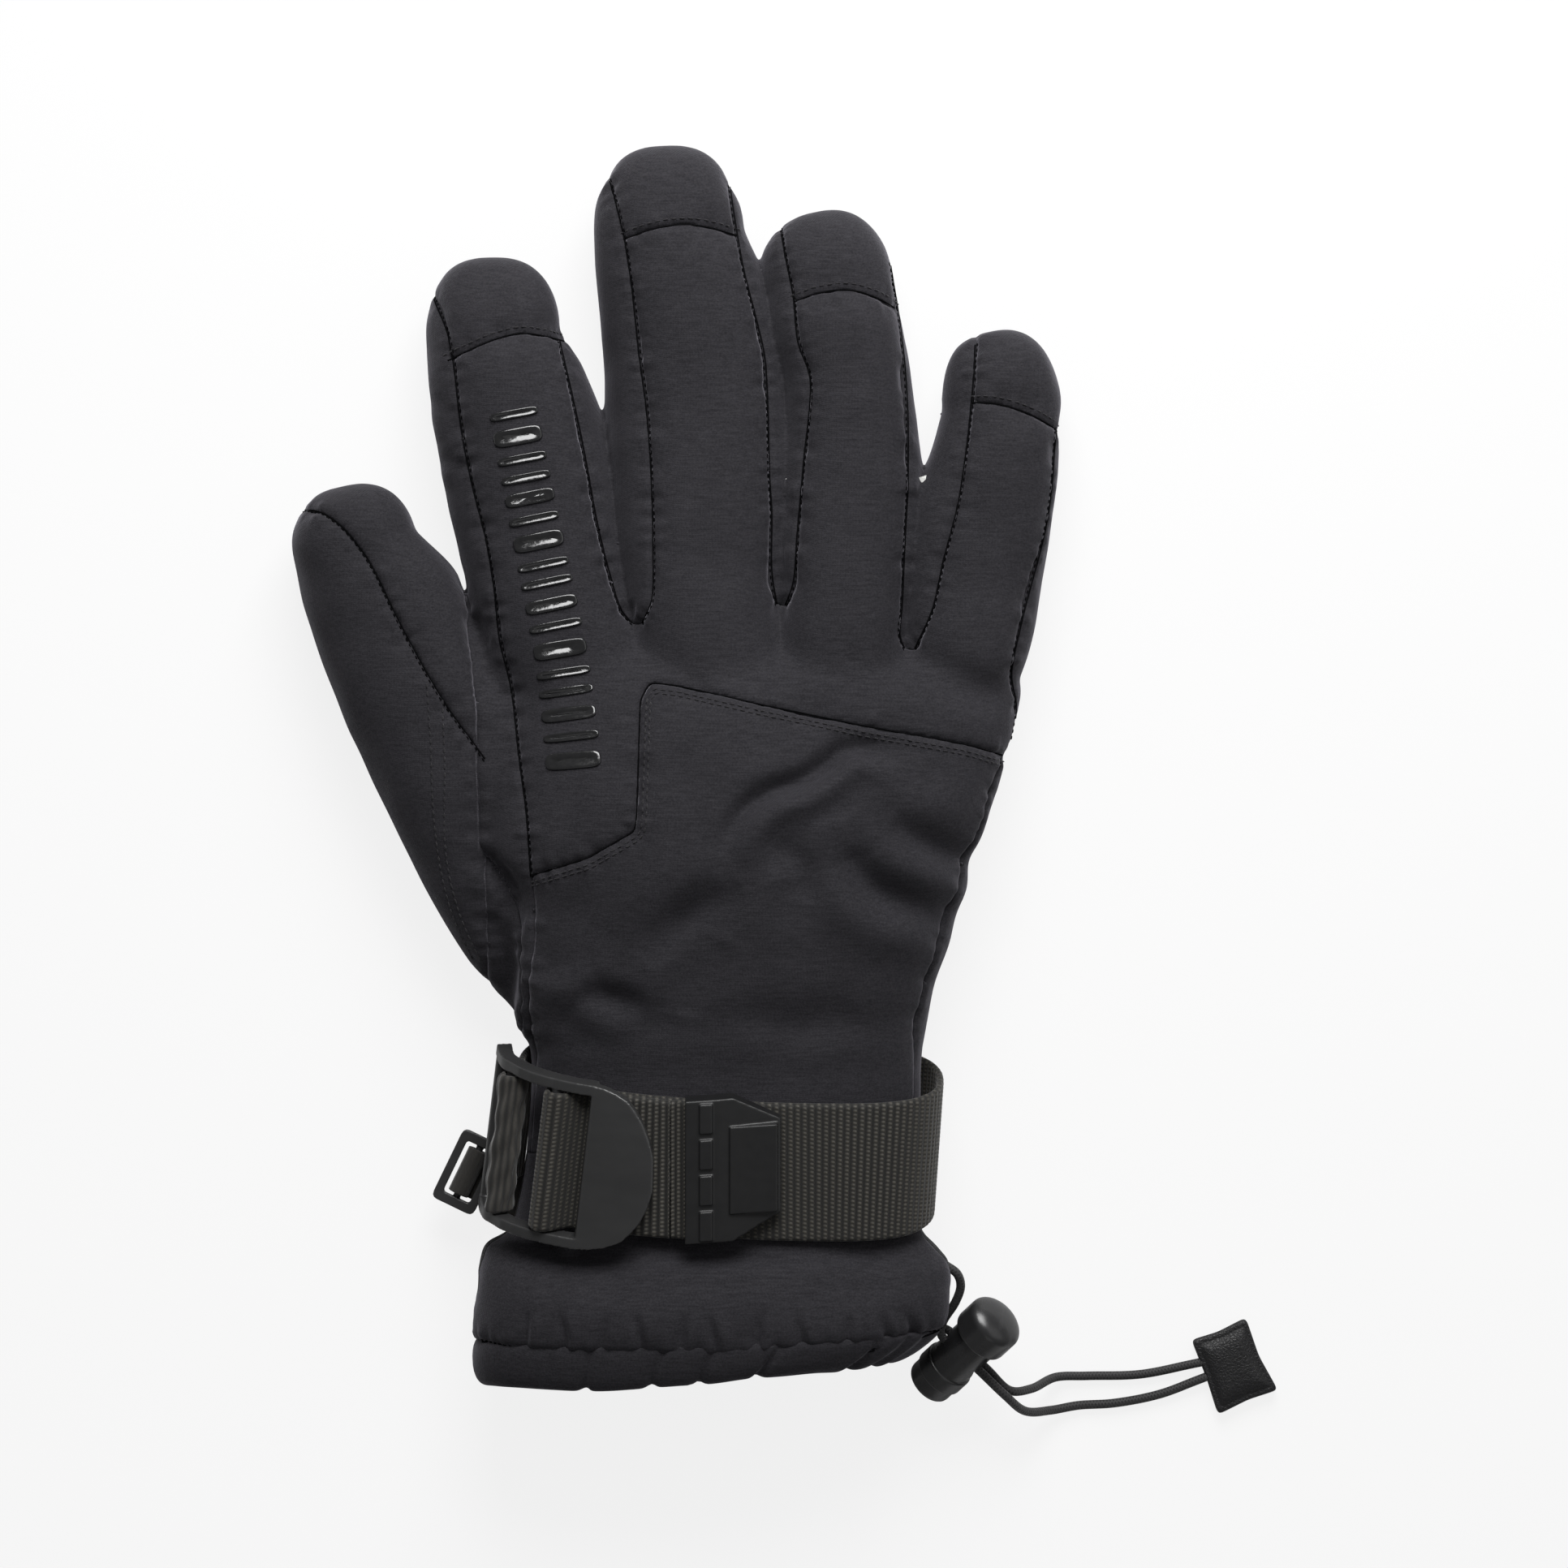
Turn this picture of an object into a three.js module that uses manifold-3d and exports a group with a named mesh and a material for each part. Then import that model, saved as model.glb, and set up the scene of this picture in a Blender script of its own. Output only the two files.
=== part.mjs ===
// Ski glove for the right hand with wrist strap, ladder-lock buckle and cuff drawcord.
// Lengths are millimetres. The glove lies palm down: +X to the little finger,
// +Y to the fingertips, +Z up through the back of the hand.
import * as THREE from "three";
import * as BufferGeometryUtils from "three/addons/utils/BufferGeometryUtils.js";
import Module from "manifold-3d";

const wasm = await Module();
wasm.setup();

// Scale of the traced outlines
const PIXEL = 0.18;
const ORIGIN_PX = [835.13, 941.05];
const OVERRUN = 12;

// Layers of the hand
const SHELL_WALL = 0.9;
const LAYER_GAP = 0.3;
const INSULATION_WALL = 2.0;
const LINING_WALL = 0.8;
const SEAM_GAP = 0.3;
const SOLE_HEIGHT = 1.3;
const SOLE_SINK = 2.5;
const PATCH_WALL = 1.0;
const LINING_TUCK = 2.5;

// Heights over the table
const HAND_TOP = 39;
const WRIST_TOP = 34;
const CUFF_TOP = 43;
const FINGER_TOP = 28;
const THUMB_TOP = 29;
const PALM_SEAM_HEIGHT = 8;
const FINGER_SEAM_HEIGHT = 15;
const HAND_SEAM_HEIGHT = 22;
const CUFF_SEAM_HEIGHT = 20;

// Facets
const FINGER_SIDES = 10;
const HAND_SIDES = 18;
const CORD_SIDES = 8;
const ROUND_SHARE = 0.8;
const DOME_ANGLES = [38, 66];
const DOME_ROUND_SHARE = 0.75;

// Stations run from tip to root: left x, left y, right x, right y in pixels, height share
const INDEX_PX = [
  [526, 408, 690, 402, 0.93],
  [536, 500, 722, 478, 1],
  [574, 700, 758, 690, 1],
  [588, 800, 790, 800, 1.04],
  [650, 935, 800, 935, 0.95],
];
const MIDDLE_PX = [
  [734, 292, 920, 282, 0.93],
  [744, 390, 952, 390, 1],
  [756, 590, 970, 590, 1],
  [768, 690, 960, 690, 1],
  [782, 790, 960, 790, 1.08],
  [805, 940, 960, 940, 1.0],
];
const RING_PX = [
  [941, 348, 1102, 346, 0.93],
  [952, 420, 1117, 420, 1],
  [979, 510, 1126, 510, 1],
  [975, 710, 1113, 710, 1],
  [966, 800, 1108, 800, 1.06],
  [972, 940, 1100, 940, 1.0],
];
const LITTLE_PX = [
  [1163, 496, 1309, 500, 0.88],
  [1149, 570, 1304, 576, 0.93],
  [1130, 730, 1280, 736, 0.93],
  [1122, 806, 1265, 812, 1],
  [1105, 925, 1205, 935, 0.85],
];
const THUMB_PX = [
  [361, 706, 540, 660, 0.93],
  [388, 790, 568, 732, 1],
  [418, 868, 582, 806, 1],
  [450, 940, 640, 880, 1],
  [529, 1099, 730, 1020, 0.95],
  [580, 1180, 760, 1100, 0.85],
  [680, 1250, 790, 1190, 0.6],
];
const TIP_LENGTH_PX = { index: 90, middle: 109, ring: 90, little: 92, thumb: 92 };

// The hand runs from the knuckles to the mouth, with the height over the table last
const HAND_PX = [
  [640, 782, 1236, 800, HAND_TOP * 0.52],
  [606, 836, 1262, 850, HAND_TOP * 0.8],
  [591, 930, 1244, 948, HAND_TOP * 0.94],
  [585, 1040, 1206, 1052, HAND_TOP],
  [618, 1128, 1176, 1130, HAND_TOP * 0.97],
  [636, 1220, 1146, 1224, HAND_TOP * 0.92],
  [641, 1296, 1137, 1300, WRIST_TOP],
  [641, 1506, 1137, 1506, WRIST_TOP],
  [608, 1540, 1152, 1544, WRIST_TOP],
  [588, 1596, 1168, 1592, CUFF_TOP * 0.97],
  [583, 1650, 1163, 1638, CUFF_TOP],
  [586, 1704, 1114, 1686, CUFF_TOP * 0.96],
];

// Seam lines traced in pixels
const WRIST_SEAM_Y = 1420;
const HEM_SEAM_PX = [
  [540, 1646],
  [597, 1648],
  [682, 1655],
  [878, 1658],
  [1029, 1654],
  [1164, 1634],
  [1210, 1626],
];
const CAP_SEAMS_PX = {
  index: [[500, 452], [558, 444], [580, 434], [620, 418], [646, 413], [700, 419], [722, 424]],
  middle: [[700, 300], [772, 296], [797, 288], [829, 281], [864, 281], [905, 288], [932, 296]],
  ring: [[933, 380], [982, 373], [1008, 364], [1046, 360], [1075, 367], [1105, 380], [1128, 388]],
  little: [[1136, 494], [1204, 498], [1228, 499], [1265, 510], [1302, 528], [1330, 540]],
};
const CAP_TOPS_PX = {
  index: [[722, 290], [500, 290]],
  middle: [[932, 150], [700, 150]],
  ring: [[1128, 230], [933, 230]],
  little: [[1330, 380], [1136, 380]],
};
const THUMB_REGION_PX = [
  [320, 560],
  [520, 560],
  [556, 668],
  [574, 736],
  [585, 806],
  [590, 870],
  [591, 1040],
  [622, 1100],
  [641, 1150],
  [644, 1260],
  [640, 1290],
  [320, 1290],
];
const THUMB_SEAM_PX = [
  [340, 600],
  [371, 627],
  [397, 632],
  [425, 651],
  [458, 693],
  [496, 769],
  [529, 830],
  [555, 873],
  [600, 935],
];
const PANEL_SEAM_PX = [
  [1240, 932],
  [1189, 918],
  [1063, 895],
  [937, 869],
  [836, 846],
  [802, 842],
  [791, 863],
  [787, 1006],
  [785, 1023],
  [726, 1057],
  [659, 1078],
];
const FINGER_BACKS_PX = [
  [652, 1005],
  [630, 844],
  [610, 724],
  [583, 598],
  [560, 449],
  [536, 370],
  [560, 300],
  [672, 300],
  [689, 418],
  [722, 565],
  [744, 700],
  [766, 762],
  [792, 762],
  [806, 705],
  [800, 540],
  [778, 348],
  [760, 222],
  [790, 160],
  [880, 160],
  [908, 286],
  [938, 430],
  [948, 585],
  [944, 705],
  [950, 748],
  [976, 745],
  [992, 661],
  [998, 540],
  [985, 430],
  [967, 315],
  [975, 240],
  [1080, 240],
  [1104, 371],
  [1112, 497],
  [1106, 620],
  [1096, 749],
  [1104, 792],
  [1122, 792],
  [1150, 740],
  [1172, 640],
  [1191, 546],
  [1200, 428],
  [1220, 390],
  [1280, 400],
  [1298, 520],
  [1286, 640],
  [1260, 780],
  [1254, 872],
];
const HAND_BACK_PX = [
  [656, 1100],
  [662, 1150],
  [652, 1250],
  [655, 1420],
  [1122, 1420],
  [1128, 1260],
  [1152, 1170],
  [1186, 1080],
  [1222, 960],
];
const PATCH_PX = [
  [700, 870],
  [740, 840],
  [1110, 850],
  [1140, 900],
  [1090, 1130],
  [1050, 1290],
  [1010, 1330],
  [770, 1330],
  [730, 1290],
  [690, 1120],
];

// Wrist strap: webbing wound over the wrist, leaning towards the cuff as it rises
const STRAP_WIDTH = 30;
const STRAP_WALL = 1.4;
const STRAP_CLEAR = 0.45;
const STRAP_STAND_OFF = 3.6;
const STRAP_CENTRE_PX = 1445;
const STRAP_LEAN_SHARE = 0.42;
const STRAP_STEP_DEGREES = 7;
const STRAP_RIGHT_DEGREES = -34;
const STRAP_TUCK_DEGREES = -52;
const ANCHOR_END_DEGREES = 198;

// Ladder-lock buckle, curved round the thumb side of the wrist
const BUCKLE_HEIGHT = 38;
const BUCKLE_RAIL = 3.4;
const BUCKLE_WALL = 3.4;
const BUCKLE_RISE = 5.4;
const BUCKLE_GUARD_RISE = 2.2;
const GUARD_DEGREES = 177;
const ANCHOR_BAR_DEGREES = 159;
const TOOTHED_BAR_DEGREES = 133;
const TAB_BAR_DEGREES = 119;
const TAB_TIP_DEGREES = 102;
const BAR_RADIUS = 1.5;
const BAR_CLEAR = 0.3;
const TOOTH_DEPTH = 0.45;
const TOOTH_COUNT = 3;
const TAB_WALL = 2.2;
const TAB_CORNER_SHARE = 0.55;
const BAR_SIDES = 12;

// Free end of the strap and its moulded tab
const FREE_END_HINGE_PX = 828;
const FREE_END_FOLD_GAP = 0.3;
const END_TAB_LEFT_PX = 846;
const END_TAB_RIGHT_PX = 962;
const END_TAB_WIDTH = 31.2;
const END_TAB_WALL = 3.4;
const END_TAB_NOSE_WALL = 2.2;
const END_TAB_POCKET = 6;
const END_TAB_CHAMFER = 5.4;
const END_TAB_RIB_WIDTH = 1.4;
const END_TAB_RIB_RISE = 0.5;
const END_TAB_RIB_COUNT = 4;
const END_TAB_PANEL_LENGTH = 10.4;
const END_TAB_PANEL_WIDTH = 19;
const END_TAB_PANEL_RISE = 0.6;

// Small slider on a narrow webbing at the thumb side
const SLIDER_CENTRE_PX = [577, 1441];
const SLIDER_TURN_DEGREES = -25.8;
const SLIDER_LENGTH = 12;
const SLIDER_WIDTH = 17;
const SLIDER_WALL = 2.6;
const SLIDER_RAIL = 2.2;
const SLIDER_CORNER = 1.6;
const SLIDER_BAR_RADIUS = 1.0;
const SLIDER_HEIGHT = 8.6;
const NARROW_WEB_WIDTH = 10.8;
const NARROW_WEB_WALL = 1.1;
const NARROW_WEB_CLEAR = 0.3;

// Cord lock
const LOCK_BUTTON_PX = [1219, 1637];
const LOCK_BUTTON_HEIGHT = 18;
const LOCK_TURN_DEGREES = 226.3;
const LOCK_TILT_DEGREES = 32.3;
const LOCK_LENGTH = 20;
const LOCK_RADIUS = 5.4;
const LOCK_BORE = 4.2;
const LOCK_FLOOR = 1.6;
const LOCK_FOOT_ROUND = 1.2;
const LOCK_COLLAR_RADIUS = 5.9;
const LOCK_COLLAR_LOW = 4.2;
const LOCK_COLLAR_HIGH = 8.2;
const LOCK_HOLE_HEIGHT = 13.2;
const LOCK_HOLE_WIDTH = 5.2;
const LOCK_HOLE_DROP = 3.4;
const CORD_CLEAR = 0.3;
const PLUNGER_RADIUS = 3.9;
const PLUNGER_TRAVEL = 2.6;
const PLUNGER_FOOT = 1.6;
const BUTTON_RADIUS = 6.6;
const BUTTON_SKIRT_INNER = 5.8;
const BUTTON_CROWN = 3.2;
const BUTTON_TOP_WALL = 1.6;
const BUTTON_SKIRT_DEPTH = 0.8;
const LOCK_SIDES = 20;
const SPRING_WIRE = 0.6;
const SPRING_RADIUS = 2.9;
const SPRING_CURLS = 4;
const SPRING_STEPS = 8;
const SPRING_SIDES = 5;
const SPRING_SEAT_GAP = 0.3;

// Drawcord and pull tab
const CORD_DIAMETER = 2.0;
const CORD_SPACING = 1.25;
const CORD_BEFORE_LOCK = 6.4;
const CORD_AFTER_LOCK = 13.5;
const CORD_ON_TABLE = 1.3;
const BUTTONHOLE_RADIUS = 1.9;
const HEM_CHANNEL_WALL = 0.7;
const HEM_CHANNEL_WIDTH = 3.2;
const HEM_CHANNEL_SHARES = [0.3, 0.82];
const HEM_CORE_SHARES = [0.1, 0.98];
const HEM_CORD_STEPS = 30;
const HEM_CORD_FIRST_DEGREES = 26;
const HEM_CORD_LAST_DEGREES = 326;
const HEM_EXIT_DEGREES = -34;
const PULL_TAB_PX = [
  [1474, 1659],
  [1505, 1650],
  [1538, 1633],
  [1553, 1678],
  [1576, 1718],
  [1541, 1730],
  [1504, 1748],
  [1492, 1706],
];
const PULL_TAB_HALF_WALL = 1.6;
const PULL_TAB_BEVEL = 0.7;
const PULL_TAB_GAP = 0.3;

// Materials
const fabric = new THREE.MeshStandardMaterial({ color: 0x2c2b30, roughness: 0.92, metalness: 0 });
const leather = new THREE.MeshStandardMaterial({ color: 0x1f1f22, roughness: 0.7, metalness: 0 });
const liningCloth = new THREE.MeshStandardMaterial({ color: 0x232327, roughness: 0.95, metalness: 0 });
const wadding = new THREE.MeshStandardMaterial({ color: 0xd8d8d4, roughness: 1, metalness: 0 });
const webbing = new THREE.MeshStandardMaterial({ color: 0x35332f, roughness: 0.85, metalness: 0 });
const plastic = new THREE.MeshStandardMaterial({ color: 0x1d1d20, roughness: 0.38, metalness: 0 });
const steel = new THREE.MeshStandardMaterial({ color: 0x9a9ca0, roughness: 0.35, metalness: 1 });
const elastic = new THREE.MeshStandardMaterial({ color: 0x202022, roughness: 0.8, metalness: 0 });

const glove = new THREE.Group();
glove.name = "ski_glove";

// Conversions between three.js geometry and solids
function solidOf(geometry) {
  const bare = geometry.clone();
  bare.deleteAttribute("normal");
  bare.deleteAttribute("uv");
  const merged = BufferGeometryUtils.mergeVertices(bare, 1e-4);
  return new wasm.Manifold(
    new wasm.Mesh({
      numProp: 3,
      vertProperties: new Float32Array(merged.attributes.position.array),
      triVerts: new Uint32Array(merged.index.array),
    }),
  );
}

function geometryOf(solid) {
  const mesh = solid.getMesh();
  const stride = mesh.numProp;
  const positions = new Float32Array(mesh.numVert * 3);
  for (let i = 0; i < mesh.numVert; i++) {
    positions.set(mesh.vertProperties.subarray(i * stride, i * stride + 3), i * 3);
  }
  const geometry = new THREE.BufferGeometry();
  geometry.setAttribute("position", new THREE.BufferAttribute(positions, 3));
  geometry.setIndex(new THREE.BufferAttribute(new Uint32Array(mesh.triVerts), 1));
  geometry.computeVertexNormals();
  return geometry;
}

function addMesh(name, shape, material, parent = glove) {
  const geometry = shape.isBufferGeometry ? shape : geometryOf(shape);
  const mesh = new THREE.Mesh(geometry, material);
  mesh.name = name;
  parent.add(mesh);
  return mesh;
}

function bodiesOf(solid) {
  return solid.decompose().sort((a, b) => b.volume() - a.volume());
}

function mm([x, y]) {
  return new THREE.Vector2((x - ORIGIN_PX[0]) * PIXEL, (ORIGIN_PX[1] - y) * PIXEL);
}

// Outline points moved outwards by a distance
function grown(points, distance) {
  if (distance === 0) return points;
  const turn = THREE.ShapeUtils.area(points) > 0 ? 1 : -1;
  return points.map((point, i) => {
    const before = points[(i + points.length - 1) % points.length];
    const after = points[(i + 1) % points.length];
    const a = point.clone().sub(before).normalize();
    const b = after.clone().sub(point).normalize();
    const normal = new THREE.Vector2(a.y + b.y, -a.x - b.x).normalize();
    const share = Math.max(Math.abs(normal.dot(new THREE.Vector2(a.y, -a.x))), 0.4);
    return point.clone().addScaledVector(normal, (turn * distance) / share);
  });
}

// Upright prism over an outline
function prism(points, low, high, grow = 0) {
  const geometry = new THREE.ExtrudeGeometry(new THREE.Shape(grown(points, grow)), {
    depth: high - low,
    bevelEnabled: false,
  });
  geometry.translate(0, 0, low);
  return solidOf(geometry);
}

function box(size, centre) {
  return solidOf(new THREE.BoxGeometry(...size).translate(...centre));
}

// Closed body through rings of equal point count, with an apex or a flat at each end
function loft(rings, apex) {
  const sides = rings[0].length;
  const positions = [];
  const index = [];
  for (const ring of rings) for (const p of ring) positions.push(p.x, p.y, p.z);
  for (let r = 0; r + 1 < rings.length; r++) {
    for (let k = 0; k < sides; k++) {
      const a = r * sides + k;
      const b = r * sides + ((k + 1) % sides);
      index.push(a, b, a + sides, b, b + sides, a + sides);
    }
  }
  const centreOf = (ring) =>
    ring.reduce((sum, p) => sum.add(p), new THREE.Vector3()).divideScalar(ring.length);
  const first = positions.length / 3;
  const start = apex ?? centreOf(rings[0]);
  positions.push(start.x, start.y, start.z);
  const last = first + 1;
  const end = centreOf(rings[rings.length - 1]);
  positions.push(end.x, end.y, end.z);
  const base = (rings.length - 1) * sides;
  for (let k = 0; k < sides; k++) {
    const next = (k + 1) % sides;
    index.push(first, next, k);
    index.push(last, base + k, base + next);
  }
  const geometry = new THREE.BufferGeometry();
  geometry.setAttribute("position", new THREE.BufferAttribute(new Float32Array(positions), 3));
  geometry.setIndex(index);
  const solid = new wasm.Manifold(
    new wasm.Mesh({
      numProp: 3,
      vertProperties: new Float32Array(positions),
      triVerts: new Uint32Array(index),
    }),
  );
  if (solid.volume() > 0) return solid;
  for (let i = 0; i < index.length; i += 3) [index[i], index[i + 1]] = [index[i + 1], index[i]];
  return new wasm.Manifold(
    new wasm.Mesh({
      numProp: 3,
      vertProperties: new Float32Array(positions),
      triVerts: new Uint32Array(index),
    }),
  );
}

// Point of a rounded section: angle 0 lies to the right, 90 degrees on top
function roundedPoint(halfWidth, halfHeight, angle) {
  const c = Math.cos(angle);
  const s = Math.sin(angle);
  return new THREE.Vector2(
    halfWidth * Math.sign(c) * Math.abs(c) ** ROUND_SHARE,
    halfHeight * Math.sign(s) * Math.abs(s) ** ROUND_SHARE,
  );
}

function stationOf([leftX, leftY, rightX, rightY], top) {
  const left = mm([leftX, leftY]);
  const right = mm([rightX, rightY]);
  const bottom = SOLE_HEIGHT - SOLE_SINK;
  return {
    centre: left.clone().add(right).multiplyScalar(0.5),
    across: right.clone().sub(left).normalize(),
    halfWidth: left.distanceTo(right) / 2,
    halfHeight: (top - bottom) / 2,
    mid: (top + bottom) / 2,
  };
}

function sectionRing(station, inset, sides, share = 1) {
  const ring = [];
  for (let k = 0; k < sides; k++) {
    const angle = (2 * Math.PI * (k + 0.5)) / sides;
    const p = roundedPoint(
      (station.halfWidth - inset) * share,
      (station.halfHeight - inset) * share,
      angle,
    );
    ring.push(
      new THREE.Vector3(
        station.centre.x + station.across.x * p.x,
        station.centre.y + station.across.y * p.x,
        station.mid + p.y,
      ),
    );
  }
  return ring;
}

// Finger or thumb: a domed tip before the stations
function fingerForm(rows, tipLengthPx, top, inset) {
  const stations = rows.map((row) => stationOf(row, top * row[4]));
  const base = stations[0];
  const reach = tipLengthPx * PIXEL - inset;
  const forward = new THREE.Vector2(-base.across.y, base.across.x);
  if (forward.y < 0) forward.negate();
  const ahead = (distance) => ({
    ...base,
    centre: base.centre.clone().addScaledVector(forward, distance),
  });
  stations[stations.length - 1].centre.addScaledVector(forward, inset);
  const rings = stations.map((station) => sectionRing(station, inset, FINGER_SIDES));
  for (const degrees of DOME_ANGLES) {
    const angle = THREE.MathUtils.degToRad(degrees);
    const share = Math.cos(angle) ** DOME_ROUND_SHARE;
    rings.unshift(sectionRing(ahead(reach * Math.sin(angle)), inset, FINGER_SIDES, share));
  }
  const tip = ahead(reach);
  return loft(rings, new THREE.Vector3(tip.centre.x, tip.centre.y, tip.mid));
}

function handForm(inset, mouthRun) {
  const stations = HAND_PX.map((row) => stationOf(row, row[4]));
  stations[0].centre.y -= inset;
  if (mouthRun > 0) {
    const last = stations[stations.length - 1];
    stations.push({ ...last, centre: last.centre.clone().add(new THREE.Vector2(0, -mouthRun)) });
  }
  return loft(stations.map((station) => sectionRing(station, inset, HAND_SIDES)));
}

const FINGERS = {
  index: [INDEX_PX, FINGER_TOP],
  middle: [MIDDLE_PX, FINGER_TOP],
  ring: [RING_PX, FINGER_TOP],
  little: [LITTLE_PX, FINGER_TOP],
  thumb: [THUMB_PX, THUMB_TOP],
};

// Outer form of the glove, drawn in on every side by an inset
const ALL = [-ORIGIN_PX[0] * PIXEL, (2 * ORIGIN_PX[0]) * PIXEL].map((v) => Math.abs(v));
function above(height) {
  const tall = CUFF_TOP + OVERRUN;
  return box([ALL[1] * 2, ALL[1] * 2, tall], [0, 0, height + tall / 2]);
}

function gloveForm(inset, mouthRun = 0) {
  let form = handForm(inset, mouthRun);
  for (const [name, [rows, top]] of Object.entries(FINGERS)) {
    form = form.add(fingerForm(rows, TIP_LENGTH_PX[name], top, inset));
  }
  return form.intersect(above(SOLE_HEIGHT + inset));
}

// Regions of the panels, seen from above
const seamPoints = (rows) => rows.map(mm);
const TOP = CUFF_TOP + OVERRUN;
const LOW = -OVERRUN;
const hemRegion = seamPoints([...HEM_SEAM_PX, [1210, 1800], [540, 1800]]);
const cuffRegion = seamPoints([
  ...HEM_SEAM_PX,
  [1230, WRIST_SEAM_Y],
  [540, WRIST_SEAM_Y],
]);
const thumbRegion = seamPoints(THUMB_REGION_PX);
const outerThumbRegion = seamPoints([...THUMB_SEAM_PX, [600, 1300], [300, 1300], [300, 600]]);

// Shell, cut into its panels along the seams
const insulationStart = SHELL_WALL + LAYER_GAP;
const insulationEnd = insulationStart + INSULATION_WALL;
const liningStart = insulationEnd + LAYER_GAP;
const liningEnd = liningStart + LINING_WALL;
const outerForm = gloveForm(0);
const shell = outerForm
  .subtract(gloveForm(SHELL_WALL, OVERRUN))
  .subtract(prism(hemRegion, LOW, TOP, SEAM_GAP));

let rest = shell;
function takePanel(points, low, high) {
  const panel = rest.intersect(prism(points, low, high));
  rest = rest.subtract(prism(points, low - SEAM_GAP, high + SEAM_GAP, SEAM_GAP));
  return bodiesOf(panel)[0];
}

for (const name of Object.keys(CAP_SEAMS_PX)) {
  const region = seamPoints([...CAP_SEAMS_PX[name], ...CAP_TOPS_PX[name]]);
  addMesh(name + "_tip_cap", takePanel(region, LOW, TOP), leather);
}

const thumbShell = takePanel(thumbRegion, LOW, TOP);
const thumbAbovePalm = thumbShell.intersect(above(PALM_SEAM_HEIGHT + SEAM_GAP));
const thumbPalm = thumbShell.subtract(above(PALM_SEAM_HEIGHT));
addMesh("thumb_palm_panel", bodiesOf(thumbPalm)[0], leather);
addMesh(
  "thumb_outer_panel",
  bodiesOf(thumbAbovePalm.intersect(prism(outerThumbRegion, LOW, TOP)))[0],
  fabric,
);
addMesh(
  "thumb_back_panel",
  bodiesOf(thumbAbovePalm.subtract(prism(outerThumbRegion, LOW, TOP, SEAM_GAP)))[0],
  fabric,
);

const cuffShell = takePanel(cuffRegion, LOW, TOP);

const palmShell = rest.subtract(above(PALM_SEAM_HEIGHT));
rest = rest.intersect(above(PALM_SEAM_HEIGHT + SEAM_GAP));
addMesh("palm_panel", bodiesOf(palmShell)[0], leather);
addMesh(
  "palm_patch",
  prism(seamPoints(PATCH_PX), 0, PATCH_WALL),
  leather,
);
addMesh(
  "back_finger_panel",
  takePanel(seamPoints([...PANEL_SEAM_PX, ...FINGER_BACKS_PX]), FINGER_SEAM_HEIGHT, TOP),
  fabric,
);
addMesh(
  "back_hand_panel",
  takePanel(
    seamPoints([...PANEL_SEAM_PX].reverse().slice(0, -1).reverse().concat(HAND_BACK_PX)),
    HAND_SEAM_HEIGHT,
    TOP,
  ),
  fabric,
);
const SIDE_NAMES = [
  "index_side_panel",
  "index_middle_fourchette",
  "middle_ring_fourchette",
  "ring_little_fourchette",
  "little_side_panel",
];
const middleX = (solid) => {
  const bounds = solid.boundingBox();
  return (bounds.min[0] + bounds.max[0]) / 2;
};
bodiesOf(rest)
  .slice(0, SIDE_NAMES.length)
  .sort((a, b) => middleX(a) - middleX(b))
  .forEach((solid, i) => addMesh(SIDE_NAMES[i], solid, fabric));

// Insulation and lining, both open at the mouth
const insulation = gloveForm(insulationStart, OVERRUN)
  .subtract(gloveForm(insulationEnd, OVERRUN))
  .subtract(prism(hemRegion, LOW, TOP, SEAM_GAP));
addMesh("insulation", bodiesOf(insulation)[0], wadding);
const lining = gloveForm(liningStart, OVERRUN)
  .subtract(gloveForm(liningEnd, OVERRUN))
  .subtract(prism(hemRegion, LOW, TOP, SEAM_GAP));
addMesh("lining", bodiesOf(lining)[0], liningCloth);

// Cord lock frame: local +Z runs from the closed foot of the barrel to the button
const lockAxis = new THREE.Vector3(
  Math.cos(THREE.MathUtils.degToRad(LOCK_TILT_DEGREES)) *
    -Math.cos(THREE.MathUtils.degToRad(LOCK_TURN_DEGREES)),
  Math.cos(THREE.MathUtils.degToRad(LOCK_TILT_DEGREES)) *
    -Math.sin(THREE.MathUtils.degToRad(LOCK_TURN_DEGREES)),
  Math.sin(THREE.MathUtils.degToRad(LOCK_TILT_DEGREES)),
);
const cordWay = new THREE.Vector3(lockAxis.y, -lockAxis.x, 0).normalize();
const cordApart = new THREE.Vector3().crossVectors(lockAxis, cordWay);
const buttonPlace = mm(LOCK_BUTTON_PX);
const lockFoot = new THREE.Vector3(buttonPlace.x, buttonPlace.y, LOCK_BUTTON_HEIGHT).addScaledVector(
  lockAxis,
  -(LOCK_LENGTH + PLUNGER_TRAVEL),
);
const lockHole = lockFoot.clone().addScaledVector(lockAxis, LOCK_HOLE_HEIGHT);

// Hem tunnel with a channel for the drawcord and a buttonhole towards the lock
const hemTubeStart = HEM_CHANNEL_WALL;
const hemTubeEnd = HEM_CHANNEL_WALL + HEM_CHANNEL_WIDTH;
const hemRing = outerForm
  .subtract(gloveForm(liningEnd, OVERRUN))
  .intersect(prism(hemRegion, LOW, TOP));
const lastRow = HAND_PX[HAND_PX.length - 1];
const seamRow = HAND_PX[HAND_PX.length - 2];
const between = (share) => seamRow.map((value, i) => value + (lastRow[i] - value) * share);
const channelForm = (inset, shares) => {
  const stations = shares.map((share) => stationOf(between(share), between(share)[4]));
  return loft(stations.map((station) => sectionRing(station, inset, HAND_SIDES)));
};
const channel = channelForm(hemTubeStart, HEM_CHANNEL_SHARES)
  .intersect(above(SOLE_HEIGHT + hemTubeStart))
  .subtract(
    channelForm(hemTubeEnd, HEM_CORE_SHARES).intersect(above(SOLE_HEIGHT + hemTubeEnd)),
  );

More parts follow.
